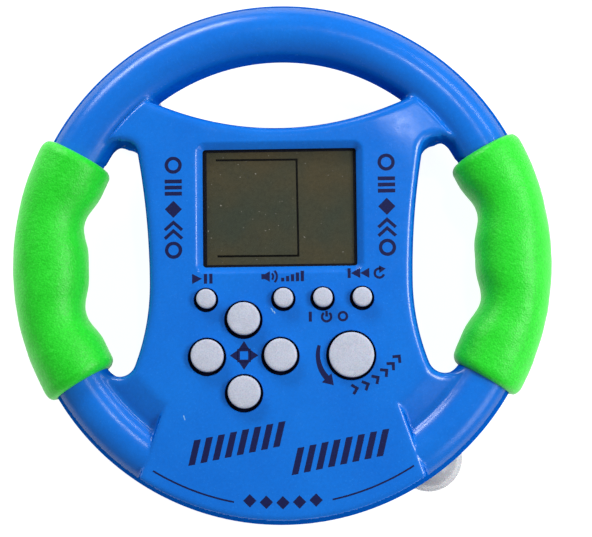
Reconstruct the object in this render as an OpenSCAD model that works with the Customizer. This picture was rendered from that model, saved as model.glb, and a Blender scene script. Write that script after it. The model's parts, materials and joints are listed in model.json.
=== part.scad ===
// Handheld electronic game in the shape of a steering wheel.
// It lies on its back on four suction cups: +Z is the front panel, +Y the top of the wheel.
// The origin is on the surface that it rests on, under the middle of the ring.

/* [Ring] */
// Outer diameter of the ring
ring_d = 156; // [146:1:188]
// Thickness of the ring's round tube
tube_d = 17; // [14.2:0.1:19.6]
// Wall of the moulded shells
wall = 2; // [1.6:0.1:2.4]
// Least height of the ring's back over the bells of the suction cups
ring_lift = 3; // [2.8:0.1:6]
// Tongue that locates one shell in the other, width and height
tongue = 0.9; // [0.7:0.05:1]

/* [Hub] */
// Width of the hub at its narrowest
hub_waist = 78; // [74:0.5:82]
// Thickness of the hub's casing
hub_depth = 19.5; // [18.5:0.1:23.4]
// Least height of the casing's back over the bells of the suction cups
casing_lift = 0.8; // [0.7:0.1:4]
// Height of the hub panel over the ring's crest
panel_rise = 0.3; // [0.2:0.05:0.6]
// Height of that narrowest place above the centre
waist_y = -6.5; // [-8:0.1:-5]
// Distance of the hub panel's edge from the ring's outer edge
panel_inset = 15; // [13:0.1:16]
// Distance of the raised base plate's edge from the ring's outer edge
base_inset = 1.2; // [0.8:0.1:1.8]
// Radius of the hub's side above the waist
side_upper_r = 220; // [190:1:264]
// Radius of the hub's side below the waist
side_lower_r = 68; // [62:1:81]
// Corner radius of the finger gaps at their upper and at their lower end
gap_corner_r = [4.5, 5];
// Distance of the eye-shaped gap's lowest point from the ring's outer edge
eye_inset = 38.2; // [36:0.1:38.4]
// Radius of the eye-shaped gap's lower edge
eye_r = 88.5; // [80:0.5:106]
// Half width of the base plate at its inner and at its outer end
base_half = [34.7, 42.6];
// Distance of those two ends below the centre
base_end = [42.1, 64.8];
// Distance from the ring's outer edge at which the upper spokes begin to dip to it
upper_spoke_inset = 26; // [23:0.5:29]
// Drop of that dip over each millimetre outwards
upper_spoke_slope = 0.14; // [0.08:0.01:0.2]
// Distance from the ring's outer edge at which the lower spokes begin to slope down to it
lower_spoke_inset = 24; // [21:0.5:28]
// Drop of that slope over each millimetre outwards
lower_spoke_slope = 0.4; // [0.2:0.01:0.44]
// Chamfer along the hub's edges
edge = 1.2; // [0.8:0.1:1.4]

/* [Display] */
// Clear width and height of the window
window = [44.8, 35.2];
// Height of the window's middle above the centre
window_y = 16; // [15:0.1:17]
// Width of the window's sloping edge
bevel = 2; // [1.6:0.1:2.4]
// Depth of that slope
bevel_depth = 1.1; // [0.8:0.05:1.3]
// Corner radius of the window
window_corner_r = 1; // [0.8:0.1:1.4]
// Thickness of the clear lens behind the window
lens_t = 0.8; // [0.7:0.05:1]
// Thickness of the display glass
glass_t = 2.4; // [2:0.1:2.6]
// How far lens and glass reach past the window on each side
glass_margin = 1.8; // [1.5:0.1:2]

/* [Buttons] */
// Diameter of the small buttons, the direction buttons and the turn button
button_d = [5.9, 10, 13.4];
// Height of the row of small buttons below the centre
row_y = -11.4; // [-12.5:0.1:-10.5]
// Places of the four small buttons along the row
row_x = [-22, 0.8, 12.4, 24];
// Middle of the four direction buttons
pad_centre = [-11, -28.2];
// Distance of each direction button from that middle
pad_pitch = 10.8; // [10.4:0.1:11.2]
// Middle of the turn button
turn_centre = [20.6, -28.4];
// How far the buttons stand out of the panel
button_rise = 2.3; // [1.8:0.1:2.7]
// How far the turn button stands out of the panel
turn_rise = 1.9; // [1.5:0.1:2.2]
// Travel of a button
button_travel = 1; // [0.8:0.05:1.2]
// Gap between a button and the edge of its hole
button_gap = 0.6; // [0.45:0.05:0.75]
// Chamfer along the edges of the button holes
hole_edge = 0.3; // [0.2:0.05:0.5]
// Rounding of a button's top edge
button_edge = 0.6; // [0.4:0.05:1]

/* [Circuit board] */
// Half width of the board
board_half = 33.5; // [32:0.1:34]
// Upper and lower edge of the board
board_y = [-45.2, 37.2];
// Thickness of the board
board_t = 1.2; // [1:0.1:1.6]
// Room between the panel's underside and the board
key_room = 4.4; // [4.2:0.1:5.2]
// Thickness of the key mat
mat_t = 0.8; // [0.6:0.05:1]

/* [Batteries] */
// Diameter of a cell
cell_d = 10.5; // [10:0.1:10.6]
// Length of a cell over its contact
cell_l = 44.5; // [44:0.1:45]
// Distance of the battery bay from the ring's outer edge
bay_inset = 8.6; // [8.4:0.1:9.4]
// Length of the pressed battery spring
spring_l = 5.9; // [5.5:0.1:7]
// Wire of the battery spring
spring_wire = 0.6; // [0.5:0.05:0.65]
// Turns of the battery spring
spring_turns = 4; // [3:1:4]
// Thickness of the battery cover
cover_t = 1.6; // [1.4:0.1:1.9]
// Width of the cover's tongue in its groove
cover_tongue = 1.4; // [1.2:0.1:1.7]
// Gap round the battery cover
cover_gap = 0.2; // [0.15:0.05:0.3]

/* [Grips] */
// Angle from the X axis to the middle of a grip
grip_turn = -0.5; // [-2:0.1:2]
// Angle from the middle of a grip to its end
grip_half_angle = 30; // [27:0.5:33]
// Thickness of the grip on the outside of the ring
grip_t = 2.6; // [2.2:0.1:3.1]
// Thickness of the grip over a finger wave's crest and in its valley
grip_wave = [4.2, 1.3];
// Angle between two finger waves
wave_pitch = 25.6; // [24:0.1:27]
// Gap between grip and ring
grip_gap = 0.15; // [0.1:0.05:0.3]

/* [Suction cups] */
// How far the cups are fixed inside the middle of the ring's tube
cup_inset = 1.5; // [1:0.1:1.8]
// Angle from the X axis to the upper and to the lower cups
cup_angle = [46, 51];
// Diameter of a cup's mouth
cup_d = 20.4; // [17:0.1:21]
// Height of a cup's bell
cup_h = 6.2; // [5.5:0.1:7]
// Sideways lean of the lower right cup
cup_lean = [0.9, -5.75];

/* [Screws] */
// Shank diameter and length of a case screw
case_screw = [2.4, 7];
// Shank diameter and length of a board screw
board_screw = [1.8, 4.2];
// Angle from the Y axis to the two screws in the top of the ring
ring_screw_angle = 30; // [26:1:34]
// Angle from the X axis to the two screws in the lower spokes
lower_post_angle = 46.4; // [45:0.1:47.4]

/* [Hidden] */
$fn = 72;

blue = [0.09, 0.46, 0.89];
green = [0.2, 0.84, 0.22];
key_grey = [0.8, 0.79, 0.84];

// Levels, from the surface up
ring_r = ring_d / 2;
tube_r = tube_d / 2;
mean_r = ring_r - tube_r;
inner_r = mean_r - tube_r;
hub_r = ring_r - panel_inset;
base_r = ring_r - base_inset;
eye_low = ring_r - eye_inset;
ring_low = cup_h + max(ring_lift, casing_lift + hub_depth - panel_rise - tube_d);
split_z = ring_low + tube_r;
panel_z = split_z + tube_r + panel_rise;
under_z = panel_z - wall;
back_z = panel_z - hub_depth;
board_top = under_z - key_room;
board_low = board_top - board_t;
tongue_r = ring_r - wall + 0.2;
far = ring_d;
thin = 0.01;

// How far a corner's circle reaches past the curves that it joins, so that they cross cleanly
corner_bite = 0.03;

// How deep posts, ribs and rims are rooted in the skin that carries them
root = 0.5;

// How far the base plate's straight sides run on inwards, under the hub
base_overlap = 12;

// Clearances
fit = 0.1;
shank_gap = 0.05;
snug = 0.2;

// Hub side and corner of a finger gap, above the waist where up is 1 and below it where up is -1
hub_half = hub_waist / 2;
function unit(v) = v / norm(v);
function side_r(up) = up > 0 ? side_upper_r : side_lower_r;
function side_centre(up) = [hub_half + side_r(up), waist_y];
function corner_r(up) = up > 0 ? gap_corner_r[0] : gap_corner_r[1];

// Middle of the corner circle, which touches the ring and the hub's side from within
function corner(up) =
    let (s = side_centre(up), d = norm(s), from_ring = inner_r - corner_r(up), from_side = side_r(up) - corner_r(up),
         along = (pow(from_ring, 2) - pow(from_side, 2) + pow(d, 2)) / (2 * d),
         across = sqrt(pow(from_ring, 2) - pow(along, 2)))
        along * unit(s) + up * across * [-unit(s)[1], unit(s)[0]];

// Places of the buttons: centre and diameter
function row_place(i) = [row_x[i], row_y];
function pad_place(angle) = pad_centre + pad_pitch * [cos(angle), sin(angle)];
button_table = concat(
    [for (i = [0:3]) [row_place(i), button_d[0]]],
    [for (angle = [90, 180, 0, 270]) [pad_place(angle), button_d[1]]],
    [[turn_centre, button_d[2]]]);
flange = 1.1;
flange_t = 1;
dome_top = under_z - fit - flange_t;

// Battery bay
bay_end = -(ring_r - bay_inset);
cell_r = cell_d / 2;
cell_gap = 0.45;
cell_pitch = cell_d + 0.7;
lower_cell_y = bay_end + cell_gap + cell_r;
upper_cell_y = lower_cell_y + cell_pitch;
bay_front = upper_cell_y + cell_r + cell_gap;
contact_t = 0.4;
bay_half = (cell_l + spring_l + 2 * contact_t) / 2 + 0.1;
cell_z = back_z + cover_t + 0.3 + cell_r;
bay_top = cell_z + cell_r + 0.4;
bay_wall = 1.2;
cover_half = bay_half + 1.4;
cover_front = bay_front + 2;
cover_step = cover_t / 2;

// Thumb grooves across the battery cover, each 2 mm shorter than the last
groove_start = 4;
groove_pitch = 1.8;
groove_r = 0.5;
groove_l = 16;

// Screws and posts
post_r = case_screw[0] / 2 + 2.2;
front_post_r = post_r - 0.6;
head_r = case_screw[0] / 2 + 1.2;
head_t = 1.6;
seat_t = 2.5;
seat_z = split_z - seat_t;
eye_centre = [0, eye_low + eye_r];
spoke_w = norm(eye_centre - corner(1)) - eye_r - corner_r(1);
upper_post = corner(1) + (corner_r(1) + spoke_w / 2) * unit(eye_centre - corner(1));
lower_post = (inner_r - 0.9) * [cos(lower_post_angle), -sin(lower_post_angle)];
hub_posts = [for (p = [upper_post, lower_post], side = [1, -1]) [side * p[0], p[1]]];
base_post_x = 34.4;
base_post_r = ring_r - 5.6;
base_posts = [for (s = [1, -1]) [s * base_post_x, -sqrt(pow(base_post_r, 2) - pow(base_post_x, 2))]];
ring_posts = [for (s = [1, -1]) mean_r * [s * sin(ring_screw_angle), cos(ring_screw_angle)]];
board_post_r = board_screw[0] / 2 + 1.4;
board_post_x = board_half - 3;
board_posts = [for (x = [-1, 1], y = [board_y[0] + 4, board_y[1] - 4]) [x * board_post_x, y]];

// Suction cups
cup_r = cup_d / 2;
cup_neck_r = 2.2;
cup_knob_r = 2.8;
cup_boss_r = 4.8;
cup_boss_z = ring_low - 1;
cup_seat_z = ring_low + wall + 1.2;
function cup_turn(sy) = sy > 0 ? cup_angle[0] : cup_angle[1];
function cup_place(sx, sy) = (mean_r - cup_inset) * [sx * cos(cup_turn(sy)), sy * sin(cup_turn(sy))];
cup_places = [for (sx = [-1, 1], sy = [1, -1]) cup_place(sx, sy)];

// Ribs in the rear shell: thickness, rise over the floor, places and half length
rib_t = 1;
rib_rise = 3;
rib_x = 22;
rib_y = [-34, 0, 36];
rib_over = 2;
rib_half = 35;

// Buzzer and wires
buzzer_at = [0, 20];
buzzer_r = 10;
buzzer_t = 0.6;
buzzer_rim = 1.4;
buzzer_z = back_z + root + wall;
sound_hole_r = 0.9;
sound_ring_r = 3.4;
wire_d = 0.9;
lead_z = cell_z + 2.6;
lead_notch = 2.4;
solder = 0.05;

// General shapes

// Rectangle with round corners, drawn from its middle
module round_rect(size, r) {
    union() {
        square([size[0] - 2 * r, size[1]], center = true);
        square([size[0], size[1] - 2 * r], center = true);
        for (x = [-1, 1], y = [-1, 1])
            translate([x * (size[0] / 2 - r), y * (size[1] / 2 - r)]) circle(r = r);
    }
}

// Outline of such a rectangle as points, for a loft
function round_rect_points(size, r, n) = [
    for (q = [0:3], i = [0:n])
        let (a = 90 * q + 90 * i / n, sx = (q == 0 || q == 3) ? 1 : -1, sy = q < 2 ? 1 : -1)
            [sx * (size[0] / 2 - r) + r * cos(a), sy * (size[1] / 2 - r) + r * sin(a)]
];

// Closed skin through rings of equally many points, with a flat cap at both ends
module loft(rings) {
    n = len(rings[0]);
    m = len(rings);
    points = [for (ring = rings) each ring];
    sides = [for (j = [0:m - 2], i = [0:n - 1])
        let (k = (i + 1) % n)
            each [[(j + 1) * n + k, j * n + k, j * n + i], [(j + 1) * n + i, (j + 1) * n + k, j * n + i]]];
    first = [for (i = [0:n - 1]) i];
    last = [for (i = [n - 1:-1:0]) (m - 1) * n + i];
    polyhedron(points = points, faces = concat(sides, [first], [last]));
}

// Round tube of a given thickness along a row of points; ref is never parallel to the path
module tube(path, d, sides, ref) {
    last = len(path) - 1;
    rings = [for (i = [0:last])
        let (t = unit(path[min(i + 1, last)] - path[max(i - 1, 0)]),
             u = unit(cross(ref, t)), v = cross(t, u))
            [for (k = [0:sides - 1]) path[i] + d / 2 * (cos(360 * k / sides) * u + sin(360 * k / sides) * v)]];
    loft(rings);
}

// Smooth curve through a few points
function spline_point(p, i, t) =
    let (last = len(p) - 1, a = p[max(i - 1, 0)], b = p[i], c = p[i + 1], d = p[min(i + 2, last)])
        0.5 * (2 * b + (c - a) * t + (2 * a - 5 * b + 4 * c - d) * t * t + (3 * b - a - 3 * c + d) * t * t * t);
function spline(p, n) = concat(
    [for (i = [0:len(p) - 2], k = [0:n - 1]) spline_point(p, i, k / n)], [p[len(p) - 1]]);

// Outline of the hub

// Hub side of one finger gap above or below the waist, grown by w
module gap_part(up, w, h, grow) {
    c = corner(up);
    s = side_centre(up);
    r = side_r(up) + w;
    inward = unit(c - s);
    outward = unit(c);
    intersection() {
        translate([s[0], s[1]]) cylinder(r1 = r, r2 = r + grow, h = h, $fn = 180);
        linear_extrude(h)
            polygon([[hub_half / 2, waist_y], c + inward * far / 5, c, c + outward * far / 2, [far, waist_y]]);
    }
    round_r = corner_r(up) + w + corner_bite;
    translate([c[0], c[1]]) cylinder(r1 = round_r, r2 = round_r + grow, h = h);
}

// Both finger gaps and the eye-shaped gap, grown by w and by a further grow at the top
module gaps(w, h, grow) {
    for (side = [0, 1]) mirror([side, 0, 0]) {
        gap_part(1, w, h, grow);
        gap_part(-1, w, h, grow);
    }
    translate([0, eye_centre[1]]) cylinder(r1 = eye_r + w, r2 = eye_r + w + grow, h = h, $fn = 180);
}

// Sector of the raised base plate, narrowed by w
module base_sector(w) {
    slope = (base_half[1] - base_half[0]) / (base_end[1] - base_end[0]);
    inner_y = -base_end[0] + base_overlap;
    inner_x = base_half[0] - base_overlap * slope;
    outer_x = base_half[0] + slope * (ring_d - base_end[0]);
    polygon([[inner_x - w, inner_y], [-inner_x + w, inner_y], [-outer_x + w, -ring_d], [outer_x - w, -ring_d]]);
}

// Prism of the hub's outline from z0 to z1, shrunk by w
module hub_prism(w, z0, z1) {
    translate([0, 0, z0]) difference() {
        union() {
            cylinder(r = hub_r - w, h = z1 - z0, $fn = 180);
            intersection() {
                cylinder(r = base_r - w, h = z1 - z0, $fn = 180);
                linear_extrude(z1 - z0) base_sector(w);
            }
        }
        translate([0, 0, -1]) gaps(w, z1 - z0 + 2, 0);
    }
}

// Where the spokes begin to slope down to the ring and how steeply: the upper ones where up is above 0
function slope_start_r(up) = ring_r - (up > 0 ? upper_spoke_inset : lower_spoke_inset);
function slope_drop(up) = up > 0 ? upper_spoke_slope : lower_spoke_slope;

// Space above the sloping spokes on one side of the centre
module spoke_slope_cut(w, up) {
    h = panel_z - split_z;
    low = panel_z - w - h;
    start_r = slope_start_r(up) - w * slope_drop(up);
    difference() {
        translate([-far / 2, up > 0 ? far / 8 : -far * 9 / 8, low]) cube([far, far, h + wall]);
        translate([0, 0, low]) cylinder(r1 = start_r + h / slope_drop(up), r2 = start_r, h = h, $fn = 180);
        if (up < 0) translate([0, 0, low - 1]) linear_extrude(h + 2) base_sector(w);
        translate([0, 0, panel_z - w]) cylinder(r = start_r, h = far);
    }
}

// Half of the ring: a round bar of radius r above or below the split
module half_ring(r, up) {
    rotate_extrude($fn = 180) intersection() {
        translate([mean_r, 0]) circle(r = r);
        translate([mean_r - far / 4, up > 0 ? 0 : -far / 2]) square([far / 2, far / 2]);
    }
}

// Cone ring that chamfers the edge of a round plate of radius r at height z
module rim_chamfer(r, z, c, up) {
    translate([0, 0, z]) mirror([0, 0, up > 0 ? 0 : 1]) difference() {
        translate([0, 0, -c]) cylinder(r = r + 1, h = c + 1, $fn = 180);
        translate([0, 0, -c - thin]) cylinder(r1 = r + thin, r2 = r - c, h = c + thin, $fn = 180);
    }
}

// Shells

module front_hub(w) {
    difference() {
        hub_prism(w, split_z, panel_z - w);
        spoke_slope_cut(w, 1);
        spoke_slope_cut(w, -1);
    }
}

module front_edges() {
    translate([0, 0, panel_z - edge]) gaps(0, edge + 1, edge + 1);
    rim_chamfer(base_r, panel_z, edge, 1);
    difference() {
        rim_chamfer(hub_r, panel_z, edge, 1);
        translate([0, 0, split_z]) linear_extrude(far) base_sector(0);
    }
}

// Front posts end inside the skin, which is lower where the spokes slope down
function post_end(p) = under_z + root - slope_drop(p[1]) * max(0, norm(p) - slope_start_r(p[1]));

module front_posts() {
    for (p = hub_posts)
        translate([p[0], p[1], split_z]) cylinder(r = front_post_r, h = post_end(p) - split_z);
    for (p = base_posts)
        translate([p[0], p[1], split_z]) cylinder(r = front_post_r, h = under_z + root - split_z);
    for (p = ring_posts)
        translate([p[0], p[1], split_z]) cylinder(r = front_post_r, h = tube_r - wall / 2);
    for (p = board_posts)
        translate([p[0], p[1], board_top]) cylinder(r = board_post_r, h = under_z + root - board_top);
}

module front_holes() {
    for (p = concat(hub_posts, base_posts, ring_posts))
        translate([p[0], p[1], split_z - 1])
            cylinder(r = case_screw[0] / 2 + shank_gap, h = case_screw[1] - seat_t + 1);
    for (p = board_posts)
        translate([p[0], p[1], board_top - 1])
            cylinder(r = board_screw[0] / 2 + shank_gap, h = board_screw[1] - board_t + 1);
    for (b = button_table) {
        r = b[1] / 2 + button_gap;
        translate([b[0][0], b[0][1], under_z - 1]) cylinder(r = r, h = wall + 2);
        translate([b[0][0], b[0][1], panel_z - hole_edge])
            cylinder(r1 = r, r2 = r + 2 * hole_edge, h = 2 * hole_edge);
    }
}

// Opening of the window through the panel, with its sloping edge
module window_cut() {
    rise = 0.5 * bevel / bevel_depth;
    outer = window + 2 * [bevel + rise, bevel + rise];
    inner_points = round_rect_points(window, window_corner_r, 6);
    outer_points = round_rect_points(outer, window_corner_r + bevel + rise, 6);
    translate([0, window_y, 0]) loft([
        [for (p = inner_points) [p[0], p[1], under_z - 1]],
        [for (p = inner_points) [p[0], p[1], panel_z - bevel_depth]],
        [for (p = outer_points) [p[0], p[1], panel_z + 0.5]]]);
}

module window_seat() {
    size = window + 2 * [glass_margin + 0.9, glass_margin + 0.9];
    low = under_z - lens_t - 0.4;
    translate([0, window_y, low]) difference() {
        linear_extrude(under_z - low + 0.4) round_rect(size, 2);
        translate([0, 0, -1]) linear_extrude(far)
            square(window + 2 * [glass_margin + fit, glass_margin + fit], center = true);
    }
}

module front_shell() {
    color(blue) difference() {
        union() {
            difference() {
                union() {
                    difference() {
                        front_hub(0);
                        front_edges();
                    }
                    translate([0, 0, split_z]) half_ring(tube_r, 1);
                }
                translate([0, 0, -thin]) {
                    front_hub(wall);
                    translate([0, 0, split_z]) half_ring(tube_r - wall, 1);
                }
            }
            front_posts();
            window_seat();
        }
        front_holes();
        window_cut();
        translate([0, 0, split_z - thin]) rotate_extrude($fn = 180)
            translate([tongue_r - fit, 0]) square([tongue + 2 * fit, tongue + fit]);
    }
}

module rear_body(w) {
    hub_prism(w, back_z + w, split_z);
    translate([0, 0, split_z]) half_ring(tube_r - w, -1);
}

module rear_edges() {
    translate([0, 0, back_z - 1]) mirror([0, 0, 1]) translate([0, 0, -edge - 1]) gaps(0, edge + 1, edge + 1);
    rim_chamfer(base_r, back_z, edge, -1);
    difference() {
        rim_chamfer(hub_r, back_z, edge, -1);
        linear_extrude(far) base_sector(0);
    }
}

module rear_posts() {
    for (p = concat(hub_posts, base_posts))
        translate([p[0], p[1], back_z + root]) cylinder(r = post_r, h = split_z - back_z - root);
    for (p = ring_posts)
        translate([p[0], p[1], split_z - tube_r + wall / 2]) cylinder(r = post_r, h = tube_r - wall / 2);
}

module rear_holes() {
    for (p = concat(hub_posts, base_posts, ring_posts)) {
        translate([p[0], p[1], -1]) cylinder(r = head_r + snug, h = seat_z + 1);
        translate([p[0], p[1], 0]) cylinder(r = case_screw[0] / 2 + snug, h = split_z + 1);
    }
    for (p = cup_places) translate([p[0], p[1], 0]) {
        cylinder(r = cup_neck_r + fit, h = split_z);
        translate([0, 0, cup_seat_z]) cylinder(r = cup_knob_r + 0.4, h = split_z - cup_seat_z);
    }
    translate([buzzer_at[0], buzzer_at[1], back_z - 1]) {
        cylinder(r = sound_hole_r, h = wall + 2);
        for (a = [0:60:300]) rotate(a) translate([sound_ring_r, 0]) cylinder(r = sound_hole_r, h = wall + 2);
    }
}

// Box of the battery bay, grown by w
module bay_box(w, z0, z1) {
    translate([-bay_half - w, bay_end - w, z0]) cube([2 * (bay_half + w), bay_front - bay_end + 2 * w, z1 - z0]);
}

// Outline of the battery cover: a plate with a straight front and the casing's edge behind
module cover_shape(half, front, r, z0, z1) {
    intersection() {
        translate([-half, -far, z0]) cube([2 * half, far + front, z1 - z0]);
        translate([0, 0, z0 - 1]) cylinder(r = r, h = z1 - z0 + 2, $fn = 180);
    }
}

module cover_slot() {
    low = back_z - 1;
    mid = back_z + cover_t - cover_step;
    top = back_z + cover_t + cover_gap;
    cover_shape(cover_half + cover_gap, cover_front + cover_gap, far, low, top);
    cover_shape(cover_half + cover_tongue + cover_gap, cover_front + cover_gap, far, mid - cover_gap, top);
}

module cup_bosses() {
    for (p = cup_places) translate([p[0], p[1], cup_boss_z]) cylinder(r = cup_boss_r, h = cup_seat_z - cup_boss_z);
}

// Rim round the buzzer and the low ring that it is glued on
module buzzer_ring() {
    translate([buzzer_at[0], buzzer_at[1], back_z + root]) {
        difference() {
            cylinder(r = buzzer_r + buzzer_rim, h = wall + 1.5);
            translate([0, 0, -1]) cylinder(r = buzzer_r + snug, h = far);
        }
        difference() {
            cylinder(r = buzzer_r - 0.6, h = wall);
            translate([0, 0, -1]) cylinder(r = buzzer_r - 2, h = far);
        }
    }
}

// Stiffening ribs on the casing's floor; those across are low in their middle
module rear_ribs() {
    h = wall + rib_rise - root;
    for (x = [-rib_x, rib_x]) translate([x - rib_t / 2, rib_y[0] - rib_over, back_z + root])
        cube([rib_t, rib_y[2] - rib_y[0] + 2 * rib_over, h]);
    for (y = rib_y) translate([-rib_half, y - rib_t / 2, back_z + root]) difference() {
        cube([2 * rib_half, rib_t, h]);
        translate([rib_half - rib_x / 2, -1, wall]) cube([rib_x, rib_t + 2, far]);
    }
}

module rear_shell() {
    color(blue) difference() {
        union() {
            difference() {
                rear_body(0);
                rear_edges();
                translate([0, 0, thin]) rear_body(wall);
            }
            rear_posts();
            cup_bosses();
            rear_ribs();
            buzzer_ring();
            intersection() {
                difference() {
                    bay_box(bay_wall, back_z, bay_top + bay_wall);
                    bay_box(0, back_z - 1, bay_top);
                }
                cylinder(r = base_r - wall - snug, h = far, $fn = 180);
            }
            cover_rails();
            translate([0, 0, split_z - 1]) rotate_extrude($fn = 180)
                translate([tongue_r, 0]) square([tongue, tongue + 1]);
        }
        rear_holes();
        bay_box(0, back_z - 1, bay_top);
        cover_slot();
        for (y = [upper_cell_y, lower_cell_y])
            translate([-bay_half - bay_wall / 2, y, lead_z]) cube([2 * bay_wall, lead_notch, lead_notch], center = true);
    }
}

// Thick edge of the casing on either side of the cover, which holds its groove
module cover_rails() {
    outer = cover_half + cover_tongue + cover_gap + bay_wall;
    top = back_z + cover_t + cover_gap + bay_wall;
    intersection() {
        difference() {
            translate([-outer, -far, back_z + root]) cube([2 * outer, far + cover_front + 2, top - back_z - root]);
            translate([-bay_half, bay_end, back_z - 1]) cube([2 * bay_half, bay_front - bay_end, far]);
        }
        translate([0, 0, back_z]) cylinder(r = base_r - wall / 2, h = far, $fn = 180);
    }
}

module battery_cover() {
    step_z = back_z + cover_t - cover_step;
    color(blue) difference() {
        union() {
            difference() {
                cover_shape(cover_half, cover_front, base_r, back_z, back_z + cover_t);
                rim_chamfer(base_r, back_z, edge, -1);
            }
            intersection() {
                cover_shape(cover_half + cover_tongue, cover_front, base_r, step_z, back_z + cover_t);
                cylinder(r = base_r, h = far, $fn = 180);
            }
        }
        for (i = [0:4]) translate([0, bay_end + groove_start + groove_pitch * i, back_z - 0.1]) rotate([0, 90, 0])
            cylinder(r = groove_r, h = groove_l - 2 * i, center = true);
    }
}

// Grips

// Thickness of the grip at angle a along the ring and t round the tube
function wave(a) = grip_wave[1] + (grip_wave[0] - grip_wave[1]) * (1 + cos(360 * a / wave_pitch)) / 2;
function inward_share(t) = pow((1 - cos(t)) / 2, 1.5);
function grip_pad(a, t) = grip_t + (wave(a) - grip_t) * inward_share(t);
end_angles = [0, 0.25, 0.8, 1.6, 2.6];
end_share = [0.3, 0.62, 0.84, 0.96, 1];
grip_steps = 22;
grip_rings = concat(
    [for (i = [0:4]) [-grip_half_angle + end_angles[i], end_share[i]]],
    [for (i = [1:grip_steps - 1]) [(grip_half_angle - 2.6) * (2 * i / grip_steps - 1), 1]],
    [for (i = [4:-1:0]) [grip_half_angle - end_angles[i], end_share[i]]]);
grip_sides = 28;

module grip() {
    color(green) rotate(grip_turn) difference() {
        loft([for (g = grip_rings) [for (k = [0:grip_sides - 1])
            let (t = 360 * k / grip_sides, r = tube_r + 0.35 + g[1] * (grip_pad(g[0], t) - 0.35),
                 out = mean_r + r * cos(t))
                [out * cos(g[0]), out * sin(g[0]), split_z + r * sin(t)]]]);
        translate([0, 0, split_z]) rotate(-grip_half_angle - 2)
            rotate_extrude(angle = 2 * grip_half_angle + 4, $fn = 180)
                translate([mean_r, 0]) circle(r = tube_r + grip_gap);
    }
}

module right_grip() {
    grip();
}

module left_grip() {
    mirror([1, 0, 0]) grip();
}

// Display

glass_size = window + 2 * [glass_margin, glass_margin];

module window_lens() {
    color([0.85, 0.88, 0.9, 0.5]) translate([0, window_y, under_z - lens_t - 0.05])
        linear_extrude(lens_t) round_rect(glass_size, 0.8);
}

glass_top = under_z - lens_t - 0.1;
ledge = 3.2;
strip_y = window_y - (glass_size[1] - ledge) / 2;
holder_rim = [2.5, 2];

module display_glass() {
    lower = glass_t / 2;
    color([0.29, 0.29, 0.24]) {
        translate([0, window_y, glass_top - glass_t]) linear_extrude(lower)
            square(glass_size, center = true);
        translate([0, window_y + ledge / 2, glass_top - lower]) linear_extrude(lower)
            square(glass_size - [0, ledge], center = true);
    }
}

module display_holder() {
    size = glass_size + 2 * holder_rim;
    low = board_top;
    top = glass_top - glass_t;
    color([0.9, 0.9, 0.88]) difference() {
        translate([0, window_y, low]) linear_extrude(top + 1 - low) round_rect(size, 1.5);
        translate([0, window_y, top]) linear_extrude(far) square(glass_size + 1.5 * [snug, snug], center = true);
        translate([0, window_y + 1.5, low - 1]) linear_extrude(far) square(glass_size - [6, 9], center = true);
        translate([0, strip_y, low - 1]) linear_extrude(far) square([glass_size[0] - 3, strip_w + 0.6], center = true);
    }
}

strip_w = 2;

module contact_strips() {
    layers = 6;
    t = glass_top - glass_t - board_top;
    color([0.75, 0.4, 0.5]) for (i = [0:layers - 1]) {
        length = (glass_size[0] - 4) / layers;
        translate([(i - (layers - 1) / 2) * length, strip_y, board_top + t / 2])
            cube([length - 0.4, strip_w, t], center = true);
    }
}

// Board and key mat

jig_hole_x = 12;
jig_hole_inset = 2.2;
jig_hole_r = 1;

module main_board() {
    color([0.1, 0.35, 0.2]) difference() {
        translate([-board_half, board_y[0], board_low]) cube([2 * board_half, board_y[1] - board_y[0], board_t]);
        for (p = board_posts) translate([p[0], p[1], board_low - 1])
            cylinder(r = board_screw[0] / 2 + fit, h = board_t + 2);
        for (x = [-1, 1]) translate([x * jig_hole_x, board_y[1] - jig_hole_inset, board_low - 1])
            cylinder(r = jig_hole_r, h = board_t + 2);
    }
}

blob_r = 16;
blob_t = 1.7;

module chip_cover() {
    color([0.08, 0.08, 0.09]) translate([4, -14, board_low]) rotate_extrude() intersection() {
        translate([0, blob_r - blob_t]) circle(r = blob_r, $fn = 180);
        translate([0, -blob_t + crown_flat]) square([blob_r, blob_t - crown_flat]);
    }
}

module board_parts() {
    color([0.7, 0.55, 0.35]) for (i = [0:3])
        translate([-24 + 3.4 * i, 6, board_low - 1.25]) rotate([90, 0, 0]) cylinder(r = 1.2, h = 6.2, center = true);
    color([0.15, 0.2, 0.45]) translate([14, 8, board_low - 7]) cylinder(r = 2.5, h = 7);
    color([0.8, 0.8, 0.8]) translate([20, -6, board_low - 1.7]) rotate([0, 90, 0]) cylinder(r = 1.6, h = 8, center = true);
    color([0.85, 0.75, 0.4]) for (i = [0:2])
        translate([-22 + 7 * i, -22, board_low - 0.75]) cube([3.2, 1.6, 1.4], center = true);
}

function dome_radius(b) = b[1] / 2 + 0.4;

module key_mat() {
    y1 = window_y - glass_size[1] / 2 - 2.6;
    color([0.85, 0.85, 0.82]) difference() {
        translate([-board_half + 3.5, board_y[0] + 0.2, board_top])
            cube([2 * board_half - 7, y1 - board_y[0] - 0.2, mat_t]);
        for (b = button_table) translate([b[0][0], b[0][1], board_top - 1])
            cylinder(r = dome_radius(b) + fit, h = mat_t + 2);
        for (p = board_posts) translate([p[0], p[1], board_top - 1]) cylinder(r = board_post_r + 0.4, h = mat_t + 2);
    }
}

// Buttons and their domes

// Height of a button's crown over its edge, and of the flat cut off its very top
crown = 0.35;
crown_flat = 0.02;

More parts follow.
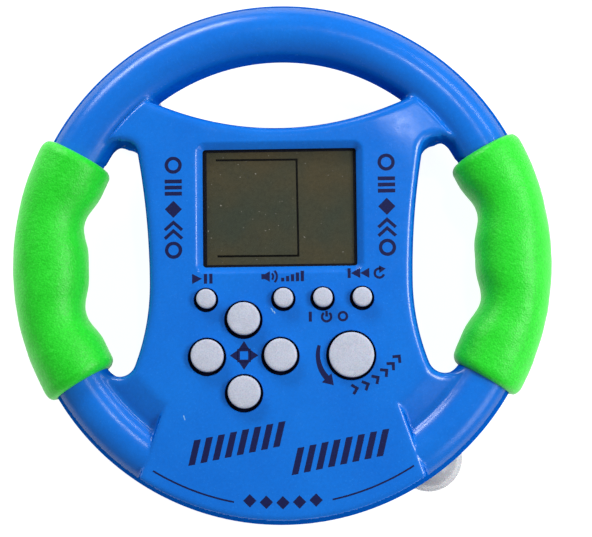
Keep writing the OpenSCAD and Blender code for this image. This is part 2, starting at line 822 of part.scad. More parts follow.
module button(i, rise) {
    b = button_table[i];
    r = b[1] / 2;
    top = panel_z + rise;
    low = under_z - fit - flange_t;
    edge_top = top - crown;
    crown_r = (pow(r, 2) + pow(crown, 2)) / (2 * crown);
    color(key_grey) translate([b[0][0], b[0][1], 0]) {
        rotate_extrude() intersection() {
            translate([0, low]) square([far, top - crown_flat - low]);
            translate([0, top - crown_r]) circle(r = crown_r, $fn = 360);
            union() {
                translate([0, low]) square([r + flange, flange_t]);
                translate([0, low]) square([r, edge_top - button_edge - low]);
                translate([0, low]) square([r - button_edge, far / 4]);
                translate([r - button_edge, edge_top - button_edge]) circle(r = button_edge);
            }
        }
    }
}

module dome(i) {
    b = button_table[i];
    r = dome_radius(b);
    top = dome_top - 0.05;
    t = 0.5;
    head = r * 0.62;
    stub_z = board_top + button_travel + 0.05;
    color([0.88, 0.87, 0.84]) translate([b[0][0], b[0][1], 0]) rotate_extrude() polygon([
        [r - t * 2, board_top], [r, board_top], [r, board_top + 0.7], [head + t / 2, top - 0.9],
        [head, top], [0, top], [0, stub_z], [head * 0.6, stub_z], [head * 0.6, top - 1],
        [head - t / 2, top - 1.2]]);
}

module start_button() { button(0, button_rise); }
module sound_button() { button(1, button_rise); }
module power_button() { button(2, button_rise); }
module reset_button() { button(3, button_rise); }
module up_button() { button(4, button_rise); }
module left_button() { button(5, button_rise); }
module right_button() { button(6, button_rise); }
module down_button() { button(7, button_rise); }
module turn_button() { button(8, turn_rise); }

// Buzzer and wires

module buzzer() {
    translate([buzzer_at[0], buzzer_at[1], buzzer_z]) {
        color([0.8, 0.65, 0.3]) cylinder(r = buzzer_r, h = buzzer_t / 2);
        color([0.9, 0.9, 0.86]) translate([0, 0, buzzer_t / 2]) cylinder(r = buzzer_r * 0.7, h = buzzer_t / 2);
    }
}

module buzzer_leads() {
    rise = board_low - buzzer_z;
    buzzer_route = [[0, 0.6, buzzer_t + wire_d / 2 + 0.05], [0, -0.4, buzzer_t + wire_d / 2 + 0.05], [0.5, -2, 2.2],
        [2.5, -6.5, 4.2], [4.5, -10, 5.8], [5, -12.8, rise - 2.2], [5, -13, rise - 1], [5, -13, rise]];
    color([0.75, 0.1, 0.1]) for (side = [0, 1]) translate([0, buzzer_at[1], buzzer_z])
        mirror([side, 0, 0]) tube(spline([for (p = buzzer_route) [p[0] + 2.6, p[1], p[2]]], 4), wire_d, 8, [1, 0, 0]);
}

// Batteries

module battery(x, y, turn) {
    translate([x, y, cell_z]) rotate([0, turn * 90, 0]) rotate_extrude() union() {
        translate([0, -cell_l / 2]) square([cell_r - 0.4, cell_l - 1]);
        translate([0, -cell_l / 2 + 0.4]) square([cell_r, cell_l - 1.8]);
        translate([0, -cell_l / 2]) square([1.9, cell_l]);
    }
}

cell_shift = spring_l / 2;

module upper_battery() {
    color([0.2, 0.2, 0.22]) battery(cell_shift, upper_cell_y, 1);
}

module lower_battery() {
    color([0.2, 0.2, 0.22]) battery(-cell_shift, lower_cell_y, -1);
}

// Helix of the battery spring along +X, wide at its foot
steps_per_turn = 8;
spring_foot_r = 3.6;
spring_head_r = 2.5;
spring_steps = spring_turns * steps_per_turn;
spring_path = [for (i = [0:spring_steps])
    let (s = i / spring_steps, r = spring_foot_r + (spring_head_r - spring_foot_r) * s)
        [spring_wire / 2 + (spring_l - spring_wire) * s,
         r * cos(360 * i / steps_per_turn), r * sin(360 * i / steps_per_turn)]];
spring_gap = min([for (i = [0:spring_steps - steps_per_turn])
    norm(spring_path[i + steps_per_turn] - spring_path[i])]) - spring_wire;
echo(least_gap_in_the_battery_spring = spring_gap);

module battery_springs() {
    foot = bay_half - contact_t - 0.05;
    color([0.85, 0.85, 0.88]) {
        translate([-foot, upper_cell_y, cell_z]) tube(spring_path, spring_wire, 6, [1, 0, 0]);
        translate([foot, lower_cell_y, cell_z]) mirror([1, 0, 0]) tube(spring_path, spring_wire, 6, [1, 0, 0]);
    }
}

module battery_contacts() {
    h = cell_d - 2;
    low = cell_z - h / 2;
    color([0.85, 0.82, 0.75]) {
        for (y = [upper_cell_y, lower_cell_y])
            translate([-bay_half, y - h / 2, low]) cube([contact_t, h, h]);
        translate([bay_half - contact_t, lower_cell_y - h / 2, low])
            cube([contact_t, upper_cell_y - lower_cell_y + h, h]);
    }
}

// Lead from a contact plate at y through the bay's wall and up to the board; out is its distance from the bay
module battery_lead(y, out, end_x) {
    end_y = board_y[0] + out + 1;
    turn_y = bay_front + out;
    tube(spline([[-bay_half - 0.05, y, lead_z], [-bay_half - 1.6, y, lead_z], [-bay_half - out, y + 1.4, lead_z],
        [-bay_half - out, y + 3, lead_z], [-bay_half - out, turn_y, lead_z], [end_x, end_y - 1, board_low - 2.2],
        [end_x, end_y, board_low - 1], [end_x, end_y, board_low - solder]], 4), wire_d, 8, [1, 1, -1]);
}

module battery_leads() {
    color([0.75, 0.1, 0.1]) battery_lead(lower_cell_y, bay_wall + 2.6, -bay_half - 0.8);
    color([0.1, 0.1, 0.1]) battery_lead(upper_cell_y, bay_wall + 1.2, -bay_half + 1.4);
}

// Screws

module screw(size, head) {
    cylinder(r = size[0] / 2, h = size[1]);
    difference() {
        translate([0, 0, -head[1]]) cylinder(r = head[0], h = head[1]);
        for (a = [0, 90]) rotate(a) translate([0, 0, -head[1]])
            cube([head[0] * 1.3, 0.5, 1.4], center = true);
    }
}

module case_screws() {
    color([0.75, 0.75, 0.78]) for (p = concat(hub_posts, base_posts, ring_posts))
        translate([p[0], p[1], seat_z]) screw(case_screw, [head_r, head_t]);
}

module board_screws() {
    color([0.75, 0.75, 0.78]) for (p = board_posts)
        translate([p[0], p[1], board_low]) screw(board_screw, [board_screw[0] / 2 + 0.9, 1.1]);
}

// Suction cups

// Half section of a cup's bell, from its mouth on the surface up to its neck
module bell_section() {
    polygon([[cup_r - 0.9, 0], [cup_r, 0], [cup_r, 0.7], [cup_r * 0.8, cup_h * 0.45], [cup_r * 0.45, cup_h * 0.85],
        [cup_neck_r + 0.9, cup_h], [0, cup_h], [0, cup_h * 0.68], [1, cup_h * 0.68], [cup_r * 0.4, cup_h * 0.63],
        [cup_r * 0.76, cup_h * 0.32]]);
}

// Half section of the knob that snaps through the boss, with the collar under it
module knob_section() {
    polygon([[0, cup_boss_z - 0.8], [cup_neck_r + 0.9, cup_boss_z - 0.8], [cup_neck_r + 0.9, cup_boss_z - fit],
        [cup_neck_r, cup_boss_z - fit], [cup_neck_r, cup_seat_z + fit], [cup_knob_r, cup_seat_z + fit],
        [cup_neck_r * 0.7, cup_seat_z + 2], [0, cup_seat_z + 2]]);
}

module cup(sx, sy, lean) {
    p = cup_place(sx, sy);
    neck_top = cup_boss_z - 0.3;
    color([0.8, 0.84, 0.88, 0.7])
        if (norm(lean) > 0) {
            translate([p[0] + lean[0], p[1] + lean[1], 0]) rotate_extrude() bell_section();
            translate([p[0], p[1], 0]) rotate_extrude() knob_section();
            hull() {
                translate([p[0] + lean[0], p[1] + lean[1], cup_h - 1]) cylinder(r = cup_neck_r, h = 0.8, $fn = 32);
                translate([p[0], p[1], neck_top - 0.3]) cylinder(r = cup_neck_r, h = 0.3, $fn = 32);
            }
        } else {
            translate([p[0], p[1], 0]) rotate_extrude() union() {
                bell_section();
                knob_section();
                translate([0, cup_h - 1]) square([cup_neck_r, neck_top - cup_h + 1]);
            }
        }
}

module upper_left_cup() { cup(-1, 1, [0, 0]); }
module upper_right_cup() { cup(1, 1, [0, 0]); }
module lower_left_cup() { cup(-1, -1, [0, 0]); }
module lower_right_cup() { cup(1, -1, cup_lean); }

front_shell();
rear_shell();
left_grip();
right_grip();
window_lens();
display_glass();
display_holder();
contact_strips();
main_board();
chip_cover();
board_parts();
key_mat();
start_button();
sound_button();
power_button();
reset_button();
up_button();
left_button();
right_button();
down_button();
turn_button();
dome(0);  // start_dome
dome(1);  // sound_dome
dome(2);  // power_dome
dome(3);  // reset_dome
dome(4);  // up_dome
dome(5);  // left_dome
dome(6);  // right_dome
dome(7);  // down_dome
dome(8);  // turn_dome
buzzer();
buzzer_leads();
battery_cover();
upper_battery();
lower_battery();
battery_springs();
battery_contacts();
battery_leads();
case_screws();
board_screws();
upper_left_cup();
upper_right_cup();
lower_left_cup();
lower_right_cup();
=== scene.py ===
"""Looks of the handheld electronic game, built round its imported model. Metres, in the frame of the model."""
import json
import math

import bpy
import numpy as np
from mathutils import Matrix, Vector, noise


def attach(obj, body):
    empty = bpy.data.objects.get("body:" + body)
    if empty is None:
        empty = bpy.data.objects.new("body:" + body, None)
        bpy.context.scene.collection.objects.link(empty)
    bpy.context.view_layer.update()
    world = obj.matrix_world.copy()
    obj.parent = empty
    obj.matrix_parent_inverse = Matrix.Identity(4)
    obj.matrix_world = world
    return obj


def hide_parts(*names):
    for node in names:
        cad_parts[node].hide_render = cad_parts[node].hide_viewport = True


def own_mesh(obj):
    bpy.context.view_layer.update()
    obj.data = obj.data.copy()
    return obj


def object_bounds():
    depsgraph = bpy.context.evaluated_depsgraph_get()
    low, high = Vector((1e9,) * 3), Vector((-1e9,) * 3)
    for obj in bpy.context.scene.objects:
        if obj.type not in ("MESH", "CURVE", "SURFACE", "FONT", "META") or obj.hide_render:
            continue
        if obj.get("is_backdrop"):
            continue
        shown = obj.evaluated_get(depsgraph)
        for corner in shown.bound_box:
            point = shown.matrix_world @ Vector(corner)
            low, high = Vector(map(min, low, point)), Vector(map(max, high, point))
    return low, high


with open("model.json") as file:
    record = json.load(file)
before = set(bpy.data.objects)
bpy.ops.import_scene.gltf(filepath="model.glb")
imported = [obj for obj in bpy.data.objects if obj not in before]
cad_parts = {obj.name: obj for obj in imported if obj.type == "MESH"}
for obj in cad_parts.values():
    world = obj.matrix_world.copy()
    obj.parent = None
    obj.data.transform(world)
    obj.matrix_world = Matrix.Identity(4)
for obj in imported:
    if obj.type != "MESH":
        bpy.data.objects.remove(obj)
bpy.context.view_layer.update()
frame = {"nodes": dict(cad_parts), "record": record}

MM = 0.001

# Sizes are in millimetres, as in the part's source. Where a size has two values, 1 stands for above the
# hub's waist or the right side, and -1 for below it or the left side.

# Ring and panel
RING_R, TUBE_R, SPLIT_Z = 78.0, 8.5, 17.7
MEAN_R = RING_R - TUBE_R
INNER_R = MEAN_R - TUBE_R
PANEL_Z, BACK_Z, WALL = 26.5, 7.0, 2.0
UNDER_Z = PANEL_Z - WALL
SEAM_GAP = 0.06

# Hub with its gaps, spokes that slope down to the ring, and base plate
HUB_HALF, WAIST_Y, HUB_R = 39.0, -6.5, 63.0
SIDE_R, CORNER_R = {1: 220.0, -1: 68.0}, {1: 4.5, -1: 5.0}
EYE_LOW, EYE_R = 39.8, 88.5
SPOKE_START_R, SPOKE_SLOPE, SPOKE_BEND, SPOKE_STRETCH = 54.0, 0.4, 1.5, 1.05
UPPER_START_R, UPPER_SLOPE, UPPER_BEND = 52.0, 0.14, 6.0
BASE_R, BASE_HALF, BASE_END, BASE_RUN_IN = 76.8, (34.7, 42.6), (42.1, 64.8), 12.0

# How softly the hub's faces meet: gap and top, back, rim, end in the ring, and hub with ring
TOP_EDGE, BACK_EDGE, RIM_EDGE, END_EDGE, RING_BLEND = 3.2, 2.0, 0.8, 1.5, 1.6
# Beside a finger gap the hub ends inside the ring's tube. That limit fades with the angle past the gap's
# corner, and towards the middle
END_IN, TURN_FADE, TURN_FADE_CURVE, INWARD_FADE, INWARD_START = 0.4, 0.6, 0.1, 1.2, 0.3
# How softly the base's faces meet, and how its sides run into the rest away from its top and back
BASE_CORNER, BASE_BACK_EDGE, BASE_TOP_EDGE, BASE_GAP_EDGE = 0.7, 0.5, 1.9, 2.4
SIDE_BLEND, SIDE_BLEND_IN, SIDE_BLEND_RUN = 0.7, 0.6, 0.8
# How softly the shell's inside and its edge at the seam are rounded
INSIDE_EDGE, SEAM_EDGE = 0.2, 0.35

# Window and its opening in the panel, whose place and size follow the photograph
WINDOW, WINDOW_Y = (44.8, 35.2), 16.0
OPENING, OPENING_AT, OPENING_CORNER = (WINDOW[0] + 0.8, WINDOW[1] - 0.1), (-0.15, WINDOW_Y - 0.35), 0.9
LENS_T, LENS_GAP = 0.8, 0.1
# The opening's wall from the bottom up, as growth and height over the panel, and how high its painted shade
# reaches
OPENING_STEPS = ((0.0, -5.0), (0.0, -1.62), (0.05, -1.55), (1.7, -0.27),
                 (1.9, -0.14), (2.15, -0.04), (2.4, 0.02), (2.7, 1.0))
SHADE_WALL_TOP = -1.57

# Buttons, as middle and diameter. Their holes sit a little to the left and down, as the dark gap shows
BUTTONS = {
    "start": ((-22, -11.4), 5.9), "sound": ((0.8, -11.4), 5.9), "power": ((12.4, -11.4), 5.9),
    "reset": ((24, -11.4), 5.9), "up": ((-11, -17.4), 10.0), "left": ((-21.8, -28.2), 10.0),
    "right": ((-0.2, -28.2), 10.0), "down": ((-11, -39.0), 10.0), "turn": ((20.6, -28.4), 13.4)}
LARGE_BUTTON = 12.0
RISE, TURN_RISE, PRESS = 2.3, 1.9, 1.0
BUTTON_GAP, HOLE_EDGE, HOLE_SPARE = 0.6, 0.3, 0.02
HOLE_LEFT, HOLE_DOWN, LARGE_HOLE_DOWN = 0.12, 0.28, 0.12
KEY_TRIM, LARGE_KEY_TRIM = 0.022, 0.1
KEY_EDGE, KEY_CROWN, CROWN_SHARE, KEY_SHADE_Z = 0.45, 0.16, 0.98, PANEL_Z - 0.9
FLANGE_WIDTH, FLANGE_T, FLANGE_GAP = 1.2, 1.0, 0.1

# Grips, whose lengths along the ring are in degrees. Lumps are pairs of scale and height
GRIP_HALF, GRIP_T, GRIP_WAVE, WAVE_PITCH, GRIP_GAP = 29.65, 2.6, (3.1, 0.55), 25.4, 0.15
GRIP_TURN, WAVE_TURN = -1.1, {1: 2.2, -1: 0.2}
GRIP_END, GRIP_LIP = 2.4, 0.5
LUMPS = ((0.16, 0.16), (0.9, 0.05))

# Suction cups
CUP_INSET, CUP_ANGLE, CUP_R, CUP_H = 1.5, {1: 46.0, -1: 51.0}, 10.2, 6.2
CUP_BOSS_Z, CUP_BOSS_R, CUP_BOSS_EDGE, CUP_BOSS_BLEND, CUP_SEAT_Z = 8.2, 4.8, 0.5, 0.8, 12.4
CUP_HOLE_R, CUP_HOLE_TOP_Z = 2.3, 14
CUP_LEAN = (0.9, -5.75)
CUPS = {"upper_left": (-1, 1), "upper_right": (1, 1), "lower_left": (-1, -1), "lower_right": (1, -1)}

# Screws, sound holes, battery cover and battery bay in the back
SCREW_HOLE_R, SCREW_SEAT_Z = 2.6, 15.2
LOWER_POST_IN, LOWER_POST_ANGLE, BASE_POST_X, BASE_POST_IN, RING_POST_ANGLE = 0.9, 46.4, 34.4, 5.6, 60.0
BUZZER, SOUND_HOLE_R, SOUND_RING_R, SOUND_HOLE_TOP_Z = (0, 20), 0.9, 3.4, 12
COVER_HALF, COVER_FRONT, COVER_T, COVER_GAP, GROOVE = 27.1, -44.8, 1.6, 0.2, 1.4
BAY_HALF, BAY_END, BAY_FRONT, BAY_TOP, BAY_WALL = COVER_HALF - 1.4, -69.4, COVER_FRONT - 2, BACK_Z + 12.8, 1.2
BAY_CORNER, BAY_CUT_TOP, TRAY_GAP = 0.4, BACK_Z + 6, 0.05

# Segments of a full circle, for buttons and their holes, for cups and for bores
FINE, MEDIUM, COARSE = 96, 72, 48


# Materials

def srgb(red, green, blue):
    """Linear colour of screen values from 0 to 255."""
    def linear(value):
        value /= 255.0
        return value / 12.92 if value <= 0.04045 else ((value + 0.055) / 1.055) ** 2.4
    return (linear(red), linear(green), linear(blue), 1.0)


def grey(value):
    return (value, value, value, 1.0)


class Paint:
    """A node material in the making, on the object's own coordinates, in millimetres or another unit."""
    MIX_SHARE, MIX_FIRST, MIX_SECOND, MIX_RESULT = 0, 6, 7, 2

    def __init__(self, name, unit=MM):
        self.material = bpy.data.materials.new(name)
        self.material.use_nodes = True
        self.tree = self.material.node_tree
        self.shader = self.tree.nodes["Principled BSDF"]
        self.normal = None
        own = self.tree.nodes.new("ShaderNodeTexCoord").outputs["Object"]
        mapping = self.add("ShaderNodeMapping", {"Vector": own, "Scale": (1 / unit,) * 3})
        self.place = mapping.outputs["Vector"]

    def put(self, socket, value):
        """Sets an input, or links it where the value is another node's output."""
        if isinstance(value, bpy.types.NodeSocket):
            self.tree.links.new(value, socket)
        else:
            socket.default_value = value

    def add(self, kind, values):
        node = self.tree.nodes.new(kind)
        for socket, value in values.items():
            self.put(node.inputs[socket], value)
        return node

    def noise(self, scale, detail=3.0, rough=0.5):
        values = {"Vector": self.place, "Scale": scale, "Detail": detail, "Roughness": rough}
        return self.add("ShaderNodeTexNoise", values).outputs["Fac"]

    def ramp(self, share, *stops):
        """Colour by a share, through stops of (share, colour)."""
        node = self.add("ShaderNodeValToRGB", {"Fac": share})
        points = node.color_ramp.elements
        while len(points) < len(stops):
            points.new(0.5)
        for point, (position, colour) in zip(points, stops):
            point.position = position
            point.color = colour
        return node.outputs["Color"]

    def mix(self, share, first, second, kind="MIX"):
        node = self.tree.nodes.new("ShaderNodeMix")
        node.data_type = "RGBA"
        node.blend_type = kind
        self.put(node.inputs[self.MIX_SHARE], share)
        self.put(node.inputs[self.MIX_FIRST], first)
        self.put(node.inputs[self.MIX_SECOND], second)
        return node.outputs[self.MIX_RESULT]

    def times(self, first, second):
        return self.mix(1.0, first, second, "MULTIPLY")

    def bump(self, height, strength, distance):
        """Roughens the surface by a height, on top of the bumps made before."""
        node = self.add("ShaderNodeBump", {"Strength": strength, "Distance": distance, "Height": height})
        if self.normal is not None:
            self.put(node.inputs["Normal"], self.normal)
        self.normal = node.outputs["Normal"]
        self.put(self.shader.inputs["Normal"], self.normal)

    def finish(self, values):
        """Sets or links the shader's own inputs and gives the material."""
        for socket, value in values.items():
            self.put(self.shader.inputs[socket], value)
        return self.material


def painted_shade_down_the_side(paint):
    """Full at the front panel and darker towards the seam: painted shade on the case's lower sides."""
    height = paint.add("ShaderNodeSeparateXYZ", {"Vector": paint.place}).outputs["Z"]
    span = {"Value": height, "From Min": SPLIT_Z, "From Max": PANEL_Z, "To Min": 0.0, "To Max": 1.0}
    share = paint.add("ShaderNodeMapRange", span).outputs["Result"]
    return paint.ramp(share, (0.0, grey(0.5)), (0.5, grey(0.64)), (0.72, grey(0.9)), (0.88, grey(1.0)))


def moulded_blue():
    paint = Paint("moulded_blue")
    base = paint.ramp(paint.noise(0.05, 4.0), (0.3, srgb(4, 115, 227)), (0.7, srgb(9, 123, 234)))
    speck = paint.ramp(paint.noise(2.2, 2.0), (0.66, grey(0.0)), (0.76, grey(1.0)))
    dusty = paint.mix(speck, base, srgb(34, 134, 236))
    fine = paint.ramp(paint.noise(1.1, 5.0, 0.7), (0.35, grey(0.9)), (0.65, grey(1.0)))
    paint.bump(paint.noise(0.12), 0.25, 0.0004)
    paint.bump(paint.noise(2.4), 0.12, 0.00005)
    return paint.finish({
        # The base colour is darkened towards the seam by painted shade
        "Base Color": paint.times(paint.times(dusty, fine), painted_shade_down_the_side(paint)),
        "Roughness": paint.ramp(paint.noise(0.35, 4.0), (0.3, grey(0.2)), (0.7, grey(0.28))),
        "Specular IOR Level": 0.4})


def foam_green():
    paint = Paint("foam_green")
    broad = paint.ramp(paint.noise(0.12), (0.3, srgb(22, 220, 28)), (0.7, srgb(36, 235, 42)))
    grain = paint.ramp(paint.noise(1.6, 4.0, 0.75),
                       (0.36, srgb(14, 190, 24)), (0.52, srgb(30, 229, 38)), (0.68, srgb(78, 250, 82)))
    cells = paint.add("ShaderNodeTexVoronoi", {"Vector": paint.place, "Scale": 1.9})
    paint.bump(cells.outputs["Distance"], 0.4, 0.00016)
    paint.bump(paint.noise(0.7, 4.0), 0.4, 0.0003)
    return paint.finish({
        "Base Color": paint.mix(0.48, broad, grain), "Roughness": 0.44, "Specular IOR Level": 0.45,
        "Sheen Weight": 0.15, "Sheen Roughness": 0.4,
        "Subsurface Weight": 0.12, "Subsurface Radius": (0.2, 1.0, 0.2), "Subsurface Scale": 0.0012})


def key_grey():
    paint = Paint("key_grey")
    grain = paint.ramp(paint.noise(2.6, 3.0, 0.6),
                       (0.35, srgb(186, 193, 213)), (0.5, srgb(199, 205, 223)), (0.65, srgb(208, 213, 230)))
    worn = paint.ramp(paint.noise(0.3), (0.35, grey(0.94)), (0.6, grey(1.0)))
    paint.bump(paint.noise(2.0, 4.0), 0.2, 0.00006)
    return paint.finish({
        "Base Color": paint.times(grain, worn), "Roughness": 0.5,
        "Subsurface Weight": 0.08, "Subsurface Scale": 0.001})


def ink_navy():
    paint = Paint("ink_navy")
    grain = paint.ramp(paint.noise(2.0, 4.0, 0.7),
                       (0.3, srgb(5, 12, 62)), (0.62, srgb(8, 20, 84)), (0.78, srgb(18, 56, 146)))
    paint.bump(paint.noise(2.4), 0.2, 0.00004)
    return paint.finish({"Base Color": grain, "Roughness": 0.48, "Specular IOR Level": 0.3})


def display_film():
    paint = Paint("display_film")
    broad = paint.ramp(paint.noise(0.05), (0.34, srgb(61, 68, 54)), (0.66, srgb(79, 72, 48)))
    fine = paint.ramp(paint.noise(1.5, 4.0, 0.7), (0.36, grey(0.84)), (0.64, grey(1.12)))
    speck = paint.ramp(paint.noise(1.05, 2.0, 0.4), (0.725, grey(0.0)), (0.765, grey(1.0)))
    paint.bump(paint.noise(3.0, 2.0), 0.1, 0.00003)
    return paint.finish({
        "Base Color": paint.mix(speck, paint.times(broad, fine), srgb(150, 148, 136)),
        "Roughness": 0.5, "Specular IOR Level": 0.2})


def clear_sheet():
    paint = Paint("clear_sheet")
    haze = paint.ramp(paint.noise(0.5, 4.0), (0.3, grey(0.05)), (0.7, grey(0.08)))
    return paint.finish({"Base Color": haze, "Roughness": 0.12, "Specular IOR Level": 0.25, "Alpha": 0.05})


def soft_vinyl():
    paint = Paint("soft_vinyl")
    cloud = paint.ramp(paint.noise(0.4), (0.3, srgb(184, 186, 192)), (0.7, srgb(200, 201, 206)))
    paint.bump(paint.noise(0.5), 0.15, 0.0002)
    return paint.finish({
        "Base Color": cloud, "Roughness": 0.22, "IOR": 1.5, "Transmission Weight": 0.12,
        "Subsurface Weight": 0.1, "Subsurface Scale": 0.002})


def plain(name, low, high, roughness, metallic=0.0, scale=1.0, height=0.0, specular=0.5):
    """Finish between two screen colours, with slightly varied roughness and, if a height is given, a bump."""
    paint = Paint(name)
    if height:
        paint.bump(paint.noise(scale * 3), 0.3, height)
    return paint.finish({
        "Base Color": paint.ramp(paint.noise(scale, 4.0), (0.3, srgb(*low)), (0.7, srgb(*high))),
        "Roughness": paint.ramp(paint.noise(scale * 2),
                                (0.3, grey(roughness * 0.85)), (0.7, grey(roughness * 1.15))),
        "Metallic": metallic, "Specular IOR Level": specular})


BLUE, FOAM, KEY, INK = moulded_blue(), foam_green(), key_grey(), ink_navy()
FILM, SHEET, VINYL = display_film(), clear_sheet(), soft_vinyl()
BLACK = plain("black_line", (5, 6, 5), (9, 10, 8), 0.6, specular=0.1)
# Near-black for the window's lower wall and the border round the film: painted shade in the recess
WINDOW_SHADE = plain("painted_shade_window", (4, 7, 20), (7, 12, 32), 0.6, specular=0.15)
# Darker blue for the upright walls: painted shade
SHADED_BLUE = plain("painted_shade_side", (2, 82, 182), (4, 92, 194), 0.5, specular=0.0)
# Near-black navy for the button holes' walls and the keys' lower sides: painted shade in the gaps
HOLE_SHADE = plain("painted_shade_hole", (3, 7, 38), (6, 12, 50), 0.8, specular=0.1)
STEEL = plain("screw_steel", (150, 152, 156), (180, 182, 186), 0.32, metallic=1.0, scale=0.8, height=0.00003)
PLATED = plain("plated_steel", (190, 186, 176), (206, 203, 194), 0.3, metallic=1.0, scale=0.6)
BOARD = plain("board_green", (18, 84, 44), (26, 102, 54), 0.42, scale=0.9, height=0.00003)
WHITE = plain("white_plastic", (222, 222, 216), (236, 236, 231), 0.45)
RESIN = plain("black_resin", (16, 16, 18), (26, 26, 28), 0.2)
SMALL = plain("small_parts", (176, 138, 84), (196, 160, 100), 0.4, scale=2.0)
RUBBER = plain("silicone_rubber", (214, 212, 202), (228, 226, 218), 0.6, scale=1.2)
STRIP = plain("strip_rubber", (178, 96, 110), (196, 112, 126), 0.6, scale=3.0)
BRASS = plain("brass_disc", (196, 160, 84), (214, 180, 106), 0.28, metallic=1.0, scale=0.6)
WIRE = plain("wire_sheath", (170, 20, 22), (190, 32, 30), 0.4)
JACKET = plain("cell_jacket", (46, 48, 54), (60, 62, 70), 0.32)
SLOT_MATERIALS = {
    "blue_plastic": BLUE, "green_foam": FOAM, "key_plastic": KEY, "clear_lens": SHEET, "display": FILM,
    "white_plastic": WHITE, "strip_rubber": STRIP, "board": BOARD, "black_resin": RESIN, "board_parts": SMALL,
    "mat_rubber": RUBBER, "brass_disc": BRASS, "lead_sheath": WIRE, "cell": JACKET, "spring_steel": STEEL,
    "plated_steel": PLATED, "screw_steel": STEEL, "clear_soft": VINYL}
# Each CAD node takes the finish of its slot
for part in frame["record"]["subparts"]:
    node = frame["nodes"][part["node"]]
    node.data.materials.clear()
    node.data.materials.append(SLOT_MATERIALS[part["material_slot"]])


# Outlines

def polar(r, degrees, centre=(0, 0)):
    """Point at a radius and an angle in degrees from a centre."""
    turn = math.radians(degrees)
    return (centre[0] + r * math.cos(turn), centre[1] + r * math.sin(turn))


def arc(centre, r, start, end, n=24):
    """Points along an arc in n equal steps, between two angles in degrees."""
    return [polar(r, start + (end - start) * i / n, centre) for i in range(n + 1)]


def moved(points, centre, turn=0.0):
    """Points turned about the origin by an angle in degrees, then shifted."""
    c, s = math.cos(math.radians(turn)), math.sin(math.radians(turn))
    return [(centre[0] + x * c - y * s, centre[1] + x * s + y * c) for x, y in points]


def rect(x, y, width, height):
    half, rise = width / 2, height / 2
    return moved([(-half, -rise), (half, -rise), (half, rise), (-half, rise)], (x, y))


def round_rect(size, r, n=8, centre=(0, 0)):
    out = []
    for quarter, (sx, sy) in enumerate(((1, 1), (-1, 1), (-1, -1), (1, -1))):
        middle = (centre[0] + sx * (size[0] / 2 - r), centre[1] + sy * (size[1] / 2 - r))
        out += arc(middle, r, 90 * quarter, 90 * quarter + 90, n)
    return out


# Skins, which are lists of points and of faces

def loft(rings):
    """Closed skin through rings of equally many points (x, y, z), capped."""
    n = len(rings[0])
    verts = [p for ring in rings for p in ring]
    faces = [tuple(range(n - 1, -1, -1)), tuple(range(len(verts) - n, len(verts)))]
    for j in range(len(rings) - 1):
        for i in range(n):
            k = (i + 1) % n
            faces.append((j * n + i, j * n + k, (j + 1) * n + k, (j + 1) * n + i))
    return verts, faces


def prism(outline, low, high):
    """Flat plate from an outline of points."""
    return loft([[(x, y, z) for x, y in outline] for z in (low, high)])


def revolve(profile, centre, n=MEDIUM):
    """Closed surface of revolution from a profile of (r, z), whose ends lie on the axis."""
    verts, rings, faces = [], [], []
    for r, z in profile:
        if r < 1e-6:
            rings.append([len(verts)])
            verts.append((centre[0], centre[1], z))
        else:
            rings.append(list(range(len(verts), len(verts) + n)))
            for k in range(n):
                a = 2 * math.pi * k / n
                verts.append((centre[0] + r * math.cos(a), centre[1] + r * math.sin(a), z))
    for a, b in zip(rings, rings[1:]):
        if len(a) == 1 and len(b) == 1:
            continue
        for k in range(n):
            j = (k + 1) % n
            if len(a) == 1:
                faces.append((a[0], b[j], b[k]))
            elif len(b) == 1:
                faces.append((a[k], a[j], b[0]))
            else:
                faces.append((a[k], a[j], b[j], b[k]))
    return verts, faces


def ribbon(left, right, low, high, closed=False):
    """Thin plate between two edges of equally many points."""
    n, top = len(left), 2 * len(left)
    verts = [(p.x, p.y, z) for z in (low, high) for p in left + right]
    faces = []
    for i in range(n if closed else n - 1):
        j = (i + 1) % n
        faces += [(top + i, top + n + i, top + n + j, top + j), (i, j, n + j, n + i),
                  (i, top + i, top + j, j), (n + i, n + j, top + n + j, top + n + i)]
    if not closed:
        faces += [(0, n, top + n, top), (n - 1, top + n - 1, top + 2 * n - 1, 2 * n - 1)]
    return verts, faces


def stroke(points, width, low, high, closed=False):
    """Flat line of one width along points, as a thin plate with mitred corners."""
    p = [Vector(q) for q in points]
    n = len(p)
    left, right = [], []
    for i in range(n):
        legs = []
        if closed or i > 0:
            legs.append((p[i] - p[i - 1]).normalized())
        if closed or i < n - 1:
            legs.append((p[(i + 1) % n] - p[i]).normalized())
        along = (legs[0] + legs[-1]).normalized()
        across = Vector((-along.y, along.x))
        half = width / 2 / max(0.3, across.dot(Vector((-legs[0].y, legs[0].x))))
        left.append(p[i] + across * half)
        right.append(p[i] - across * half)
    return ribbon(left, right, low, high, closed)


def tapered(points, widths, low, high):
    """Flat line along points, with a width at each."""
    p = [Vector(q) for q in points]
    left, right = [], []
    for i, width in enumerate(widths):
        along = (p[min(i + 1, len(p) - 1)] - p[max(i - 1, 0)]).normalized()
        across = Vector((-along.y, along.x))
        left.append(p[i] + across * width / 2)
        right.append(p[i] - across * width / 2)
    return ribbon(left, right, low, high)


def frame_plate(outer, inner, low, high):
    """Flat rectangular frame between two boxes (x0, y0, x1, y1)."""
    # corners 0 to 3 are the outer box's and 4 to 7 the inner one's, low down, and 8 to 15 the same high up
    verts = []
    for z in (low, high):
        for x0, y0, x1, y1 in (outer, inner):
            verts += [(x0, y0, z), (x1, y0, z), (x1, y1, z), (x0, y1, z)]
    faces = []
    for i in range(4):
        j = (i + 1) % 4
        faces += [(8 + i, 8 + j, 12 + j, 12 + i), (i, 4 + i, 4 + j, j),
                  (i, j, 8 + j, 8 + i), (4 + i, 12 + i, 12 + j, 4 + j)]
    return verts, faces


